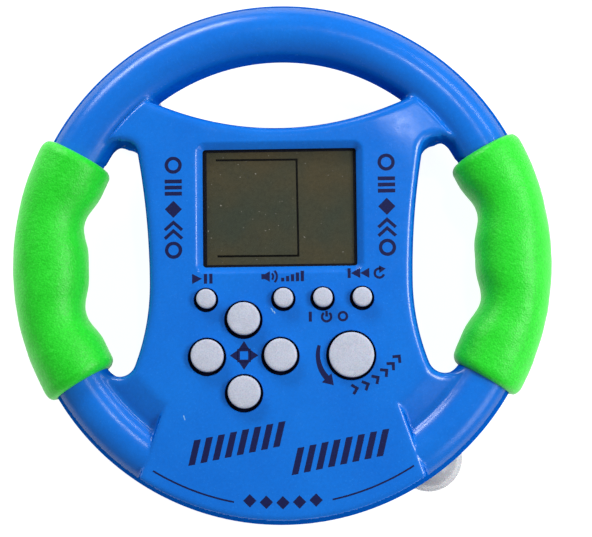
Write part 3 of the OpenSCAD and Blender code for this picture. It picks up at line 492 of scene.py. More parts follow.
def join(skins):
    """One skin of several."""
    verts, faces = [], []
    for more_verts, more_faces in skins:
        k = len(verts)
        verts += list(more_verts)
        faces += [tuple(i + k for i in face) for face in more_faces]
    return verts, faces


# Pieces and cuts

def add_object(name, data):
    o = bpy.data.objects.new(name, data)
    bpy.context.collection.objects.link(o)
    return o


def shade_smooth(mesh, sharp):
    """Smooth shading, apart from edges that turn by more than an angle in degrees."""
    mesh.polygons.foreach_set("use_smooth", [True] * len(mesh.polygons))
    mesh.set_sharp_from_angle(angle=math.radians(sharp))


def add_mesh(name, skin, material, body="case", sharp=35.0):
    """Piece from a skin in millimetres, which stays flat shaded where sharp is None."""
    verts, faces = skin
    mesh = bpy.data.meshes.new(name)
    places = np.asarray(verts, float) * MM
    mesh.from_pydata([tuple(v) for v in places], [], [tuple(int(i) for i in face) for face in faces])
    mesh.update()
    o = add_object(name, mesh)
    mesh.materials.append(material)
    if sharp is not None:
        shade_smooth(mesh, sharp)
    if body:
        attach(o, body)
    return o


def repaint(o, material, chosen):
    """Gives another material to the faces whose middle is at a chosen height in millimetres."""
    o.data.materials.append(material)
    for face in o.data.polygons:
        if chosen(face.center.z / MM):
            face.material_index = len(o.data.materials) - 1


WALL_RISE = 0.54


def shade_walls(o):
    """Gives the upright blue walls a darker copy of the blue: painted shade."""
    o.data.materials.append(SHADED_BLUE)
    blue = [i for i, material in enumerate(o.data.materials) if material == BLUE]
    for face in o.data.polygons:
        if abs(face.normal.z) < WALL_RISE and face.material_index in blue:
            face.material_index = len(o.data.materials) - 1


def plug(name, skin, material=BLUE):
    """Closed body to cut away, which leaves its material on the cut's walls."""
    return add_mesh(name, skin, material, body=None, sharp=None)


def carve(target, plugs):
    """Cuts plugs out of a mesh and removes them."""
    for cutter in plugs:
        cut = target.modifiers.new("cut", "BOOLEAN")
        cut.operation = "DIFFERENCE"
        cut.solver = "EXACT"
        cut.material_mode = "TRANSFER"
        cut.object = cutter
    depsgraph = bpy.context.evaluated_depsgraph_get()
    done = bpy.data.meshes.new_from_object(target.evaluated_get(depsgraph))
    target.modifiers.clear()
    old = target.data
    target.data = done
    done.name = target.name
    bpy.data.meshes.remove(old)
    for cutter in plugs:
        data = cutter.data
        bpy.data.objects.remove(cutter)
        bpy.data.meshes.remove(data)


# Distance field of the case

def soft_min(a, b, k):
    """The lesser of two distances, rounded where they differ by less than k."""
    h = np.maximum(k - np.abs(a - b), 0.0) / k
    return np.minimum(a, b) - h * h * k * 0.25


def soft_max(a, b, k):
    return -soft_min(-a, -b, k)


def soft_ramp(d, w):
    """Nothing below zero and d above it, with a rounded start of half width w."""
    return np.where(d > w, d, np.where(d < -w, 0, (d + w) ** 2 / (4 * w)))


def corner_of(up):
    """Middle of a finger gap's corner circle, which touches the ring and the gap's side circle."""
    side_x, side_y = HUB_HALF + SIDE_R[up], WAIST_Y
    apart = math.hypot(side_x, side_y)
    from_ring, from_side = INNER_R - CORNER_R[up], SIDE_R[up] - CORNER_R[up]
    along = (from_ring ** 2 - from_side ** 2 + apart ** 2) / (2 * apart)
    across = up * math.sqrt(from_ring ** 2 - along ** 2)
    return (along * side_x - across * side_y) / apart, (along * side_y + across * side_x) / apart


CORNER = corner_of(1)
CORNER_RAY = {up: math.degrees(math.atan2(abs(corner_of(up)[1]), corner_of(up)[0])) for up in (1, -1)}


def gap_field(x, y):
    """Negative inside a finger gap or the eye-shaped gap."""
    right = np.abs(x)
    fingers = np.full(np.shape(x), 1e3)
    for up in (1, -1):
        cx, cy = corner_of(up)
        side_x = HUB_HALF + SIDE_R[up]
        qx, qy = right - side_x, y - WAIST_Y
        side = np.hypot(qx, qy) - SIDE_R[up]
        corner = np.hypot(right - cx, y - cy) - CORNER_R[up]
        # the corner's circle counts past the line to the side circle's middle, and past its own ray
        past_side = up * ((cx - side_x) * qy - (cy - WAIST_Y) * qx) < 0
        past_ray = (up * (cx * (y - cy) - cy * (right - cx)) > 0) & (cx * (right - cx) + cy * (y - cy) > 0)
        edge = np.where(past_side | past_ray, corner, side)
        fingers = np.where(up * qy >= 0, np.minimum(fingers, edge), fingers)
    eye = np.hypot(x, y - (EYE_LOW + EYE_R)) - EYE_R
    return np.minimum(fingers, eye)


def base_sides(x, y):
    """Negative between the base plate's slanted sides, from a little way inside the hub downwards."""
    slope = (BASE_HALF[1] - BASE_HALF[0]) / (BASE_END[1] - BASE_END[0])
    side = (np.abs(x) - (BASE_HALF[0] + slope * (-y - BASE_END[0]))) / math.hypot(1, slope)
    return np.maximum(side, y + BASE_END[0] - BASE_RUN_IN)


def case_field(x, y, z):
    """Signed distance, about, to the outside of the closed case."""
    r = np.hypot(x, y)
    below = y < 0
    torus = np.hypot(r - MEAN_R, z - SPLIT_Z) - TUBE_R
    gaps = -gap_field(x, y)
    lower = SPOKE_SLOPE * soft_ramp(r - SPOKE_START_R, SPOKE_BEND)
    upper = UPPER_SLOPE * soft_ramp(r - UPPER_START_R, UPPER_BEND)
    top = (z - PANEL_Z + np.where(below, lower, upper)) / np.where(below, SPOKE_STRETCH, 1.0)
    back = BACK_Z - z
    turn = np.degrees(np.arctan2(np.abs(y), np.abs(x)))
    past = np.maximum(turn - np.where(below, CORNER_RAY[-1], CORNER_RAY[1]), 0)
    inward = np.maximum(INNER_R - INWARD_START - r, 0)
    end = torus + END_IN - TURN_FADE * past - TURN_FADE_CURVE * past ** 2 - INWARD_FADE * inward ** 2
    hub = soft_max(soft_max(gaps, top, TOP_EDGE), back, BACK_EDGE)
    hub = soft_max(soft_max(hub, r - HUB_R, RIM_EDGE), end, END_EDGE)
    sides = soft_max(r - BASE_R, base_sides(x, y), BASE_CORNER)
    flats = soft_max(z - PANEL_Z, back, BASE_BACK_EDGE)
    base = soft_max(soft_max(sides, flats, BASE_TOP_EDGE), gaps, BASE_GAP_EDGE)
    ringed = soft_min(hub, torus, RING_BLEND)
    sharp = np.minimum(ringed, base)
    under_top = np.clip((PANEL_Z - SIDE_BLEND_IN - z) / SIDE_BLEND_RUN, 0, 1)
    over_back = np.clip((z - BACK_Z - SIDE_BLEND_IN) / SIDE_BLEND_RUN, 0, 1)
    return sharp + under_top * over_back * (soft_min(ringed, base, SIDE_BLEND) - sharp)


def shell_field(x, y, z):
    """The case's wall, hollow inside."""
    outer = case_field(x, y, z)
    return soft_max(outer, -(outer + WALL), INSIDE_EDGE)


def front_field(x, y, z):
    return soft_max(shell_field(x, y, z), SPLIT_Z + SEAM_GAP - z, SEAM_EDGE)


def cup_place(sx, sy):
    """Middle of a cup under the ring, by its side and by whether it is above the waist."""
    x, y = polar(MEAN_R - CUP_INSET, CUP_ANGLE[sy])
    return (sx * x, sy * y)


def rear_field(x, y, z):
    shell = shell_field(x, y, z)
    for sx, sy in CUPS.values():
        px, py = cup_place(sx, sy)
        ends = np.maximum(CUP_BOSS_Z - z, z - CUP_SEAT_Z)
        boss = soft_max(np.hypot(x - px, y - py) - CUP_BOSS_R, ends, CUP_BOSS_EDGE)
        shell = soft_min(shell, boss, CUP_BOSS_BLEND)
    return soft_max(shell, z - SPLIT_Z + SEAM_GAP, SEAM_EDGE)


# Surface of a field

def cell_points(values):
    """A point, in grid steps, in each cell that the surface crosses, and the point's number by cell."""
    n = values.shape
    inside = values < 0
    corners = [(a, b, c) for a in (0, 1) for b in (0, 1) for c in (0, 1)]
    some = np.zeros(tuple(i - 1 for i in n), bool)
    every = ~some
    for a, b, c in corners:
        corner = inside[a:n[0] - 1 + a, b:n[1] - 1 + b, c:n[2] - 1 + c]
        some |= corner
        every &= corner
    cells = np.argwhere(some & ~every)
    index = np.full(some.shape, -1, np.int64)
    index[tuple(cells.T)] = np.arange(len(cells))
    value = {corner: values[tuple((cells + corner).T)] for corner in corners}
    total, count = np.zeros((len(cells), 3)), np.zeros(len(cells))
    for near in corners:
        for axis in range(3):
            if near[axis]:
                continue
            far = tuple(1 if i == axis else near[i] for i in range(3))
            crossed = (value[near] < 0) != (value[far] < 0)
            share = np.where(crossed, value[near] / np.where(crossed, value[near] - value[far], 1), 0)
            point = np.tile(np.array(near, float), (len(cells), 1))
            point[:, axis] = share
            total[crossed] += point[crossed]
            count[crossed] += 1
    return cells + total / count[:, None], index


def cell_faces(values, index):
    """A quad of cell points round each grid edge that the surface crosses, facing outwards."""
    n = values.shape
    inside = values < 0
    faces = []
    for axis in range(3):
        u, v = (axis + 1) % 3, (axis + 2) % 3
        near = [slice(1, n[i] - 1) for i in range(3)]
        far = list(near)
        near[axis], far[axis] = slice(0, n[axis] - 1), slice(1, n[axis])
        at = np.argwhere(inside[tuple(near)] != inside[tuple(far)])
        at = at + np.array([0 if i == axis else 1 for i in range(3)])
        around = []
        for du, dv in ((1, 1), (0, 1), (0, 0), (1, 0)):
            cell = at.copy()
            cell[:, u] -= du
            cell[:, v] -= dv
            around.append(index[tuple(cell.T)])
        quad = np.stack(around, 1)
        entering = ~inside[tuple(at.T)]
        quad[entering] = quad[entering][:, ::-1]
        faces.append(quad)
    faces = np.concatenate(faces)
    return faces[(faces >= 0).all(1)]


def settle(field, points, step, probe=0.02, least=0.2):
    """Moves points along the field's slope onto its zero, in three rounds of at most half a grid step."""
    for _ in range(3):
        slope = [field(*(points + d).T) - field(*(points - d).T) for d in probe * np.eye(3)]
        slope = np.stack(slope, 1) / (2 * probe)
        move = (field(*points.T) / np.maximum((slope ** 2).sum(1), least))[:, None] * slope
        length = np.linalg.norm(move, axis=1)[:, None]
        points = points - move * np.minimum(1, 0.5 * step / np.maximum(length, 1e-9))
    return points


def field_mesh(name, field, low, high, step):
    """Blue mesh of quads on the field's zero, by surface nets on a grid between two corners."""
    low, high = np.array(low, float), np.array(high, float)
    n = np.ceil((high - low) / step).astype(int) + 1
    across, along, up = [low[i] + step * np.arange(n[i]) for i in range(3)]
    x, y = np.meshgrid(across, along, indexing="ij")
    values = np.empty(n, np.float32)
    for k, z in enumerate(up):
        values[:, :, k] = field(x, y, np.full_like(x, z))
    points, index = cell_points(values)
    faces = cell_faces(values, index)
    points = settle(field, low + step * points, step)
    mesh = bpy.data.meshes.new(name)
    mesh.vertices.add(len(points))
    mesh.vertices.foreach_set("co", (points * MM).astype(np.float32).ravel())
    mesh.loops.add(faces.size)
    mesh.loops.foreach_set("vertex_index", faces.astype(np.int32).ravel())
    mesh.polygons.add(len(faces))
    mesh.polygons.foreach_set("loop_start", (np.arange(len(faces)) * 4).astype(np.int32))
    mesh.polygons.foreach_set("use_smooth", np.ones(len(faces), bool))
    mesh.update()
    mesh.validate()
    mesh.materials.append(BLUE)
    return add_object(name, mesh)


# Both shells
GRID = 0.5
REACH, SHELL_SHARP = 80.0, 38.0


def add_shell(name, field, low, high):
    return field_mesh(name, field, (-REACH, -REACH, low), (REACH, REACH, high), GRID)


def finish_shell(o, node):
    """Shades a shell, paints shade on its walls and puts it in the place of its CAD node."""
    shade_smooth(o.data, SHELL_SHARP)
    shade_walls(o)
    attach(o, "case")
    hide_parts(node)


# Front shell

def window_plug():
    """Plug of the window: a wall painted in shade, then a steep slope that rounds over into the panel."""
    rings = []
    for grow, z in OPENING_STEPS:
        size = (OPENING[0] + 2 * grow, OPENING[1] + 2 * grow)
        outline = round_rect(size, OPENING_CORNER + grow, 8, OPENING_AT)
        rings.append([(x, y, PANEL_Z + z) for x, y in outline])
    o = plug("cut_window", loft(rings), WINDOW_SHADE)
    repaint(o, BLUE, lambda z: z > PANEL_Z + SHADE_WALL_TOP)
    return o


def hole_plug(name, centre, r):
    """Plug of a button hole, whose wall is painted in shade and whose rounded edge is the panel's own plastic.
    """
    low, high = UNDER_Z - 3, PANEL_Z + 1
    profile = [(0, low), (r, low), (r, PANEL_Z - HOLE_EDGE), (r + 0.06, PANEL_Z - 0.1),
               (r + HOLE_EDGE * 0.6, PANEL_Z), (r + HOLE_EDGE + 0.4, high), (0, high)]
    o = plug(name, revolve(profile, centre, FINE), HOLE_SHADE)
    repaint(o, BLUE, lambda z: z > PANEL_Z - HOLE_EDGE)
    return o


front = add_shell("front_case", front_field, SPLIT_Z - 0.5, PANEL_Z + 1.5)
plugs = [window_plug()]
for i, ((x, y), d) in enumerate(BUTTONS.values()):
    down = LARGE_HOLE_DOWN if d > LARGE_BUTTON else HOLE_DOWN
    plugs.append(hole_plug("cut_hole_%d" % i, (x - HOLE_LEFT, y - down), d / 2 + BUTTON_GAP + HOLE_SPARE))
carve(front, plugs)
finish_shell(front, "front_shell")

# Rear shell and battery bay. An upper screw post stands halfway between the eye gap and the upper corner of
# a finger gap
EYE_PULL = math.hypot(CORNER[0], EYE_LOW + EYE_R - CORNER[1])
UPPER_SHARE = (CORNER_R[1] + (EYE_PULL - EYE_R - CORNER_R[1]) / 2) / EYE_PULL
UPPER_POST = (CORNER[0] * (1 - UPPER_SHARE), CORNER[1] + (EYE_LOW + EYE_R - CORNER[1]) * UPPER_SHARE)
LOWER_POST = polar(INNER_R - LOWER_POST_IN, -LOWER_POST_ANGLE)
BASE_POST = (BASE_POST_X, -math.sqrt((RING_R - BASE_POST_IN) ** 2 - BASE_POST_X ** 2))
RING_POST = polar(MEAN_R, RING_POST_ANGLE)
POSTS = [(side * x, y) for x, y in (UPPER_POST, LOWER_POST, BASE_POST, RING_POST) for side in (1, -1)]
COVER_SEAT_Z = BACK_Z + COVER_T + COVER_GAP


def cover_outline(half):
    """Outline of the battery cover's slot, which is open at the base's edge."""
    beyond, front_end = -90, COVER_FRONT + COVER_GAP
    return [(-half, beyond), (half, beyond), (half, front_end), (-half, front_end)]


def bay_outline(grow):
    size = (2 * (BAY_HALF + grow), BAY_FRONT - BAY_END + 2 * grow)
    return round_rect(size, BAY_CORNER + grow / 2, 3, (0, (BAY_FRONT + BAY_END) / 2))


rear = add_shell("rear_case", rear_field, BACK_Z - 1, SPLIT_Z + 1.5)
bores = [(SCREW_HOLE_R, SCREW_SEAT_Z, post) for post in POSTS]
sound_holes = [BUZZER] + [polar(SOUND_RING_R, turn, BUZZER) for turn in range(0, 360, 60)]
bores += [(SOUND_HOLE_R, SOUND_HOLE_TOP_Z, hole) for hole in sound_holes]
bores += [(CUP_HOLE_R, CUP_HOLE_TOP_Z, cup_place(sx, sy)) for sx, sy in CUPS.values()]
plugs = []
for i, (r, high, centre) in enumerate(bores):
    plugs.append(plug("cut_bore_%d" % i, revolve([(0, 0), (r, 0), (r, high), (0, high)], centre, COARSE)))
slot_half = COVER_HALF + COVER_GAP
groove = prism(cover_outline(slot_half + GROOVE), BACK_Z + COVER_T / 2 - COVER_GAP, COVER_SEAT_Z)
plugs.append(plug("cut_cover", prism(cover_outline(slot_half), 0, COVER_SEAT_Z)))
plugs.append(plug("cut_groove", groove))
plugs.append(plug("cut_bay", prism(bay_outline(0), 0, BAY_CUT_TOP)))
carve(rear, plugs)
tray_skin = prism(bay_outline(BAY_WALL), COVER_SEAT_Z + TRAY_GAP, BAY_TOP + BAY_WALL)
tray = add_mesh("battery_bay", tray_skin, BLUE, sharp=None)
carve(tray, [plug("cut_tray", prism(bay_outline(0), BACK_Z, BAY_TOP))])
shade_walls(tray)
finish_shell(rear, "rear_shell")


# Grips

def wave(a):
    """Thickness on the finger side: broad swells with narrower dips between them."""
    share = (1 + math.cos(2 * math.pi * a / WAVE_PITCH)) / 2
    return GRIP_WAVE[1] + (GRIP_WAVE[0] - GRIP_WAVE[1]) * math.sin(share * math.pi / 2)


def on_tube(r, turn, along):
    """Point on a tube of radius r, by the angle round the tube and the angle along the ring, in radians."""
    out = MEAN_R + r * math.cos(turn)
    return (out * math.cos(along), out * math.sin(along), SPLIT_Z + r * math.sin(turn))


def grip_skin(side, seed):
    """Sleeve with finger waves, rounded ends and small lumps, closed by a plain skin next to the ring."""
    rings, around, inner_rings = ((200, 112, 24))
    turns = [2 * math.pi * k / around for k in range(around)]
    offset = Vector((seed * 37.0, 0, 0))
    verts, faces = [], []
    for i in range(rings + 1):
        a = -GRIP_HALF + 2 * GRIP_HALF * (i / rings)
        along = math.radians(a + GRIP_TURN)
        edge = min(a + GRIP_HALF, GRIP_HALF - a) / GRIP_END
        share = 1.0 if edge >= 1 else math.sqrt(max(0.0, 1 - (1 - edge) ** 2))
        finger_side = wave(a - WAVE_TURN[side])
        for turn in turns:
            inward = ((1 - math.cos(turn)) / 2) ** 1.5
            pad = GRIP_T + (finger_side - GRIP_T) * inward
            r = TUBE_R + (GRIP_LIP + (pad - GRIP_LIP) * share)
            p = Vector(on_tube(r, turn, along))
            lump = sum(noise.noise(p * scale + offset) * size for scale, size in LUMPS)
            x, y, z = on_tube(r + lump * share, turn, along)
            verts.append((side * x, y, z))
    for i in range(inner_rings + 1):
        along = math.radians(GRIP_HALF + GRIP_TURN - 2 * GRIP_HALF * i / inner_rings)
        for turn in turns:
            x, y, z = on_tube(TUBE_R + GRIP_GAP, turn, along)
            verts.append((side * x, y, z))
    total = rings + 1 + inner_rings + 1
    for i in range(total):
        after = (i + 1) % total
        for k in range(around):
            j = (k + 1) % around
            face = (i * around + k, i * around + j, after * around + j, after * around + k)
            faces.append(face if side > 0 else face[::-1])
    return verts, faces


for side, name, seed in ((1, "right_grip", 1), (-1, "left_grip", 2)):
    grip = add_mesh(name + "_foam", grip_skin(side, seed), FOAM, sharp=50)
    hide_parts(name)


# Buttons, and the rubber domes under them

def key_profile(d, rise):
    """From the flange under the panel up the side, round the edge and over the low crown."""
    r = d / 2 - (LARGE_KEY_TRIM if d > LARGE_BUTTON else KEY_TRIM * d)
    top, low = PANEL_Z + rise, UNDER_Z - FLANGE_GAP - FLANGE_T
    shoulder = top - KEY_CROWN - KEY_EDGE
    out = [(0, low), (r + FLANGE_WIDTH, low), (r + FLANGE_WIDTH, low + FLANGE_T), (r, low + FLANGE_T),
           (r, KEY_SHADE_Z), (r, shoulder)]
    out += arc((r - KEY_EDGE, shoulder), KEY_EDGE, 0, 90, 9)[1:-1]
    for i in range(7):
        s = (r - KEY_EDGE) * (1 - i / 7)
        out.append((s, top - KEY_CROWN + KEY_CROWN * (1 - (s / r) ** 2) * CROWN_SHARE))
    out.append((0, top))
    return out


def add_dome(node, name):
    """Copy of a CAD dome, with a mesh of its own."""
    dome = add_object(name, frame["nodes"][node].data.copy())
    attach(dome, "case")
    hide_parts(node)
    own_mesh(dome)


for name, (centre, d) in BUTTONS.items():
    rise = TURN_RISE if name == "turn" else RISE
    skin = revolve(key_profile(d, rise), centre, FINE)
    key = add_mesh(name + "_key", skin, KEY, body=name)
    # The key's side below the panel is painted in shade
    repaint(key, HOLE_SHADE, lambda z: z < KEY_SHADE_Z)
    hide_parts(name + "_button")
    add_dome(name + "_dome", name + "_rubber")


# Suction cups

def cup_profile():
    """From the middle of the hollow underside, over lip and bell, to the neck and its head in the shell."""
    hollow = [(0.4, 0.6), (0.62, 0.47), (0.78, 0.3), (0.88, 0.12)]
    bell = [(0.93, 0.2), (0.84, 0.4), (0.68, 0.6), (0.5, 0.78), (0.38, 0.9)]
    lip = [(CUP_R - 0.85, 0.0), (CUP_R - 0.1, 0.0), (CUP_R, 0.25), (CUP_R - 0.05, 0.6)]
    boss, seat = CUP_BOSS_Z, CUP_SEAT_Z
    neck = [(3.1, CUP_H), (2.3, CUP_H + 0.4), (2.3, boss - 1.2), (3.1, boss - 0.8), (3.1, boss - 0.15),
            (2.2, boss - 0.1), (2.2, seat + 0.1), (2.8, seat + 0.15), (1.6, seat + 2), (0, seat + 2)]
    out = [(0, CUP_H * 0.66), (1.5, CUP_H * 0.66)] + [(CUP_R * r, CUP_H * z) for r, z in hollow]
    return out + lip + [(CUP_R * r, CUP_H * z) for r, z in bell] + neck


def cup_skin(sx, sy, lean):
    """Cup whose bell leans away from its neck, as a soft one does that isn't stuck on."""
    px, py = cup_place(sx, sy)
    profile = cup_profile()
    dense = []
    for (r0, z0), (r1, z1) in zip(profile, profile[1:]):
        dense += [(r0, z0), (r0 + (r1 - r0) * 0.5, z0 + (z1 - z0) * 0.5)]
    dense.append(profile[-1])
    verts, faces = revolve(dense, (0, 0))
    start, end = CUP_BOSS_Z - 0.6, CUP_H * 0.8
    out = []
    for x, y, z in verts:
        share = min(max((start - z) / (start - end), 0), 1)
        share = share * share * (3 - 2 * share)
        out.append((px + x + lean[0] * share, py + y + lean[1] * share, z))
    return out, [face[::-1] for face in faces]


for name, (sx, sy) in CUPS.items():
    lean = CUP_LEAN if name == "lower_right" else (0, 0)
    cup = add_mesh(name + "_suction", cup_skin(sx, sy, lean), VINYL, sharp=60)
    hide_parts(name + "_cup")

# Display: film on the glass, the open frame line that it shows, and a dark border of painted shade round it
GLASS_TOP = UNDER_Z - LENS_T - LENS_GAP
FILM_TOP, LINE_TOP, BORDER_TOP = GLASS_TOP + 0.03, GLASS_TOP + 0.05, GLASS_TOP + 0.06
FILM_MARGIN, FRAME_LINE = 1.2, [(-19.1, 30.3), (5.0, 30.2), (5.25, 1.4), (-18.8, 1.5)]
film_size = (WINDOW[0] + 2 * FILM_MARGIN, WINDOW[1] + 2 * FILM_MARGIN)
film = prism(round_rect(film_size, 0.4, 3, (0, WINDOW_Y)), GLASS_TOP + 0.002, FILM_TOP)
add_mesh("display_film", film, FILM, sharp=None)
lines = stroke(FRAME_LINE, 0.62, FILM_TOP, LINE_TOP)
add_mesh("display_lines", lines, BLACK, sharp=None)
outside, inside = (-24.0, WINDOW_Y - 19.2, 24.0, WINDOW_Y + 19.2), (-21.85, -1.1, 21.75, 32.55)
border = frame_plate(outside, inside, FILM_TOP, BORDER_TOP)
add_mesh("display_painted_shade", border, WINDOW_SHADE, sharp=None)

# Printed signs: generic ones, sized and placed as the print on the panel is
INK_LOW, INK_HIGH = PANEL_Z - 0.01, PANEL_Z + 0.025
BAR, SLIM_BAR = (0.95, 2.9), (0.9, 2.9)
signs = []


def plate(outline):
    """Adds a plate of ink to the signs."""
    signs.append(prism(outline, INK_LOW, INK_HIGH))


def line(points, width, closed=False):
    """Adds a line of ink to the signs."""
    signs.append(stroke(points, width, INK_LOW, INK_HIGH, closed))


def ring(x, y, r, width):
    """Closed line round a circle."""
    sides = 24
    line(arc((x, y), r, 0, 360 - 360 / sides, sides - 1), width, True)


def flag(x, y, width, height):
    """Triangle that points to the right, or to the left where its width is negative."""
    outline = moved([(-width / 2, -height / 2), (width / 2, 0), (-width / 2, height / 2)], (x, y))
    plate(outline if width > 0 else outline[::-1])


# Four arrows round a square, between the direction buttons
pad = (BUTTONS["up"][0][0], BUTTONS["left"][0][1])
for turn in (0, 90, 180, 270):
    plate(moved([(1.85, -1.6), (4.2, 0), (1.85, 1.6)], pad, turn))
line(rect(*pad, 3.2, 3.2), 0.75, True)

# Curved arrow beside the turn button
arrow_start, arrow_end, arrow_steps = 163, 222, 20
points = arc(BUTTONS["turn"][0], 9.9, arrow_start, arrow_end, arrow_steps)
widths = [0.9 + 0.8 * (i / arrow_steps) ** 0.7 for i in range(arrow_steps + 1)]
signs.append(tapered(points, widths, INK_LOW, INK_HIGH))
plate(moved([(2.0, 0), (-1.9, 0), (0, 3.0)], points[-1], arrow_end))

# Run and pause
x, y = -23.2, -5.4
flag(x - 1.5, y, 2.9, 3.0)
plate(rect(x + 1.0, y, *BAR))
plate(rect(x + 2.6, y, *BAR))

# Sound: a speaker, two waves and rising bars
x, y = -4.0, -5.0
plate(moved([(-1.7, -0.75), (-0.6, -0.75), (0.8, -1.6), (0.8, 1.6), (-0.6, 0.75), (-1.7, 0.75)], (x, y)))
for i in range(2):
    line(arc((x + 0.5, y), 1.3 + 1.1 * i, -45, 45, 12), 0.62)
for i in range(5):
    height = 1.1 + 0.5 * i
    plate(rect(x + 4.6 + 1.45 * i, y - 1.5 + height / 2, BAR[0], height))

# Power: on, the mark of a switch, off
x, y = 13.4, -17.0
plate(rect(x - 4.8, y, *SLIM_BAR))
line(arc((x, y - 0.1), 1.35, 125, 415, 28), 0.7)
plate(rect(x, y + 0.8, 0.7, 1.7))
ring(x + 4.8, y, 1.2, 0.7)

# Back to the start, and round again
x, y = 25.4, -4.3
plate(rect(x - 5.2, y, *SLIM_BAR))
flag(x - 3.3, y, -2.7, 3.0)
flag(x - 0.6, y, -2.7, 3.0)
line(arc((x + 3.7, y - 0.1), 1.35, 75, 345, 28), 0.7)
plate(moved([(3.7, -0.1), (5.6, 1.2), (3.6, 2.2)], (x, y)))

# Chevrons that run round the turn button's lower right
for x, y, turn in ((21.4, -38.4, 14), (24.7, -37.3, 24), (27.7, -35.5, 34),
                   (30.3, -33.5, 40), (32.3, -31.6, 45), (34.1, -29.5, 50)):
    line(moved([(-0.7, -1.4), (0.7, 0), (-0.7, 1.4)], (x, y), turn), 0.85)


# Columns of plain marks on both sides of the window

def mark_ring(x, y, r):
    ring(x, y, r - 0.5, 1.0)


def mark_bars(x, y, r):
    for i in (-1, 0, 1):
        plate(rect(x, y + i * r * 0.72, 2 * r, r * 0.44))


def mark_diamond(x, y, r):
    plate([(x - r, y), (x, y - r), (x + r, y), (x, y + r)])


def mark_chevrons(x, y, r):
    for i in (-0.5, 0.5):
        line([(x - r, y + i * r - 0.5 * r), (x, y + i * r + 0.4 * r), (x + r, y + i * r - 0.5 * r)], 0.95)


COLUMN_X, MARK_R = 31.6, 2.55
for mark, y in ((mark_ring, 28.6), (mark_bars, 21.9), (mark_diamond, 15.4),
                (mark_chevrons, 9.2), (mark_ring, 3.2)):
    for side in (-1, 1):
        mark(side * COLUMN_X, y, MARK_R)

# Two runs of slanted stripes across the base, the second a step lower
STRIPES, STRIPE_W, STRIPE_LEAN, STRIPE_STEP, STRIPE_CLIMB = 8, 1.95, 0.24, (3.55, 0.72), 0.3
for start_x, start_y, height in ((-27.6, -56.6, 7.4), (2.6, -59.4, 7.9)):
    for i in range(STRIPES):
        x, y = start_x + STRIPE_STEP[0] * i, start_y + STRIPE_STEP[1] * i
        lean = STRIPE_LEAN * height
        plate([(x, y - height / 2), (x + STRIPE_W, y - height / 2 + STRIPE_CLIMB),
               (x + STRIPE_W + lean, y + height / 2 + STRIPE_CLIMB), (x + lean, y + height / 2)])

# Curved line along the base's edge, broken by five diamonds
ROW_R, ROW_STEP, ROW_MARK_R, DOWN = 71.3, 3.9, 1.95, 270
for r, start, end in ((72.4, 238.4, 258.6), (72.0, 281.6, 302.2)):
    line(arc((0, 0), r, start, end, 30), 0.5)
for i in range(-2, 3):
    mark_diamond(*polar(ROW_R, DOWN + i * ROW_STEP), ROW_MARK_R)
add_mesh("printed_signs", join(signs), INK, sharp=None)

# Scuffs: a few thin scratches that show paler
SCUFF = plain("scuffed_blue", (96, 170, 240), (176, 212, 246), 0.6)
scratches = [[(-2.95, -14.3), (-2.5, -14.9), (-2.3, -15.5)], [(-2.1, -15.3), (-1.75, -15.9)],
             [(-28.9, -45.6), (-28.5, -46.9)]]
scuffs = join([stroke(points, 0.3, INK_LOW, INK_HIGH - 0.01) for points in scratches])
add_mesh("scuffs", scuffs, SCUFF, sharp=None)

# Floor, just under the cups
floor_mesh = bpy.data.meshes.new("floor")
floor_mesh.from_pydata([(x, y, 0) for x, y in rect(0, 0, 12, 12)], [], [(0, 1, 2, 3)])
floor = add_object("floor", floor_mesh)
floor.location.z = -0.0002
pale = Paint("floor_white", unit=1.0)
floor_mesh.materials.append(pale.finish({
    "Base Color": pale.ramp(pale.noise(2.0), (0.3, grey(0.36)), (0.7, grey(0.38))),
    "Roughness": 0.8, "Emission Color": (1, 1, 1, 1), "Emission Strength": 0.92}))
floor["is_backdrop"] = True


# Lights

def area(name, place, aim, size, power):
    """Rectangular lamp that faces an aim, in metres and watts."""
    data = bpy.data.lights.new(name, "AREA")
    data.shape = "RECTANGLE"
    data.size, data.size_y = size
    data.energy = power
    o = add_object(name, data)
    o.location = place
    o.rotation_mode = "QUATERNION"
    o.rotation_quaternion = (Vector(aim) - Vector(place)).to_track_quat("-Z", "Y")


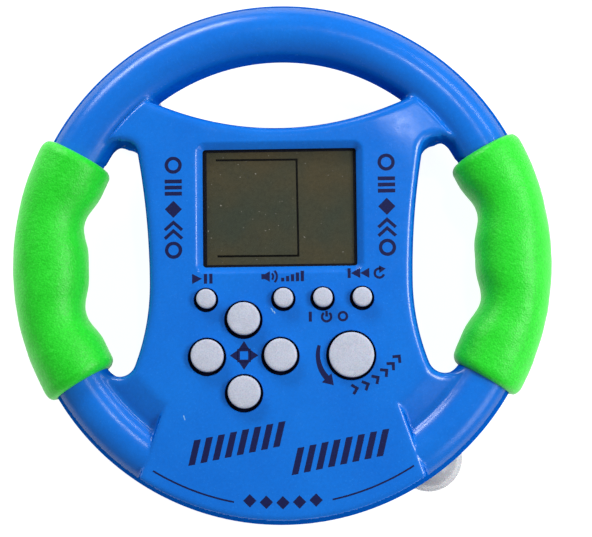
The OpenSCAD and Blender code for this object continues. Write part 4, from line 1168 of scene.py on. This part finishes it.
area("key_right", (0.64, 0.06, 0.56), (0, 0, 0), (0.28, 0.19), 3.9)
area("top_left", (-0.38, 0.73, 0.34), (0, 0, 0), (0.5, 0.15), 4.6)
area("strip_upper_right", (0.5, 0.56, 0.5), (0, 0, 0), (0.3, 0.045), 0.8)
area("high_right", (0.187, 0.365, 0.948), (0.036, 0.043, 0), (0.04, 0.04), 0.8)
area("low_right", (0.62, -0.43, 0.45), (0.04, -0.03, 0), (0.25, 0.25), 0.8)
world = bpy.data.worlds.new("studio")
bpy.context.scene.world = world
world.use_nodes = True
background = world.node_tree.nodes["Background"]
background.inputs["Color"].default_value = (1, 1, 1, 1)
background.inputs["Strength"].default_value = 0.24

# Camera: angles in degrees, distance in metres, focal length and the aim's offset in pixels of the photograph
PHOTO_WIDTH, SENSOR = 592, 36.0
CAM_TILT, CAM_SIDE, CAM_ROLL, CAM_DISTANCE, CAM_FOCAL = 5.99, 1.83, -0.59, 0.600, 2004.07
CAM_AIM = (-14.56, -5.98)
MIDDLE = Vector((0, 0, 0.018))
tilt, side, roll = math.radians(CAM_TILT), math.radians(CAM_SIDE), math.radians(CAM_ROLL)
flat = math.cos(side)
toward = Vector((math.sin(side), -math.sin(tilt) * flat, math.cos(tilt) * flat)).normalized()
level_right = Vector((0, 1, 0)).cross(toward).normalized()
level_up = toward.cross(level_right)
right = level_right * math.cos(roll) + level_up * math.sin(roll)
up = level_up * math.cos(roll) - level_right * math.sin(roll)
eye = MIDDLE + toward * CAM_DISTANCE
target = MIDDLE - right * CAM_AIM[0] * CAM_DISTANCE / CAM_FOCAL + up * CAM_AIM[1] * CAM_DISTANCE / CAM_FOCAL
back = (eye - target).normalized()
x_axis = up.cross(back).normalized()
y_axis = back.cross(x_axis)
camera_data = bpy.data.cameras.new("camera")
camera_data.sensor_width = SENSOR
camera_data.lens = CAM_FOCAL / PHOTO_WIDTH * SENSOR
camera_data.clip_start, camera_data.clip_end = 0.01, 20
camera = add_object("camera", camera_data)
camera.matrix_world = Matrix((x_axis, y_axis, back)).transposed().to_4x4()
camera.location = eye
bpy.context.scene.camera = camera
bpy.context.scene.view_settings.view_transform = "Standard"

low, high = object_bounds()
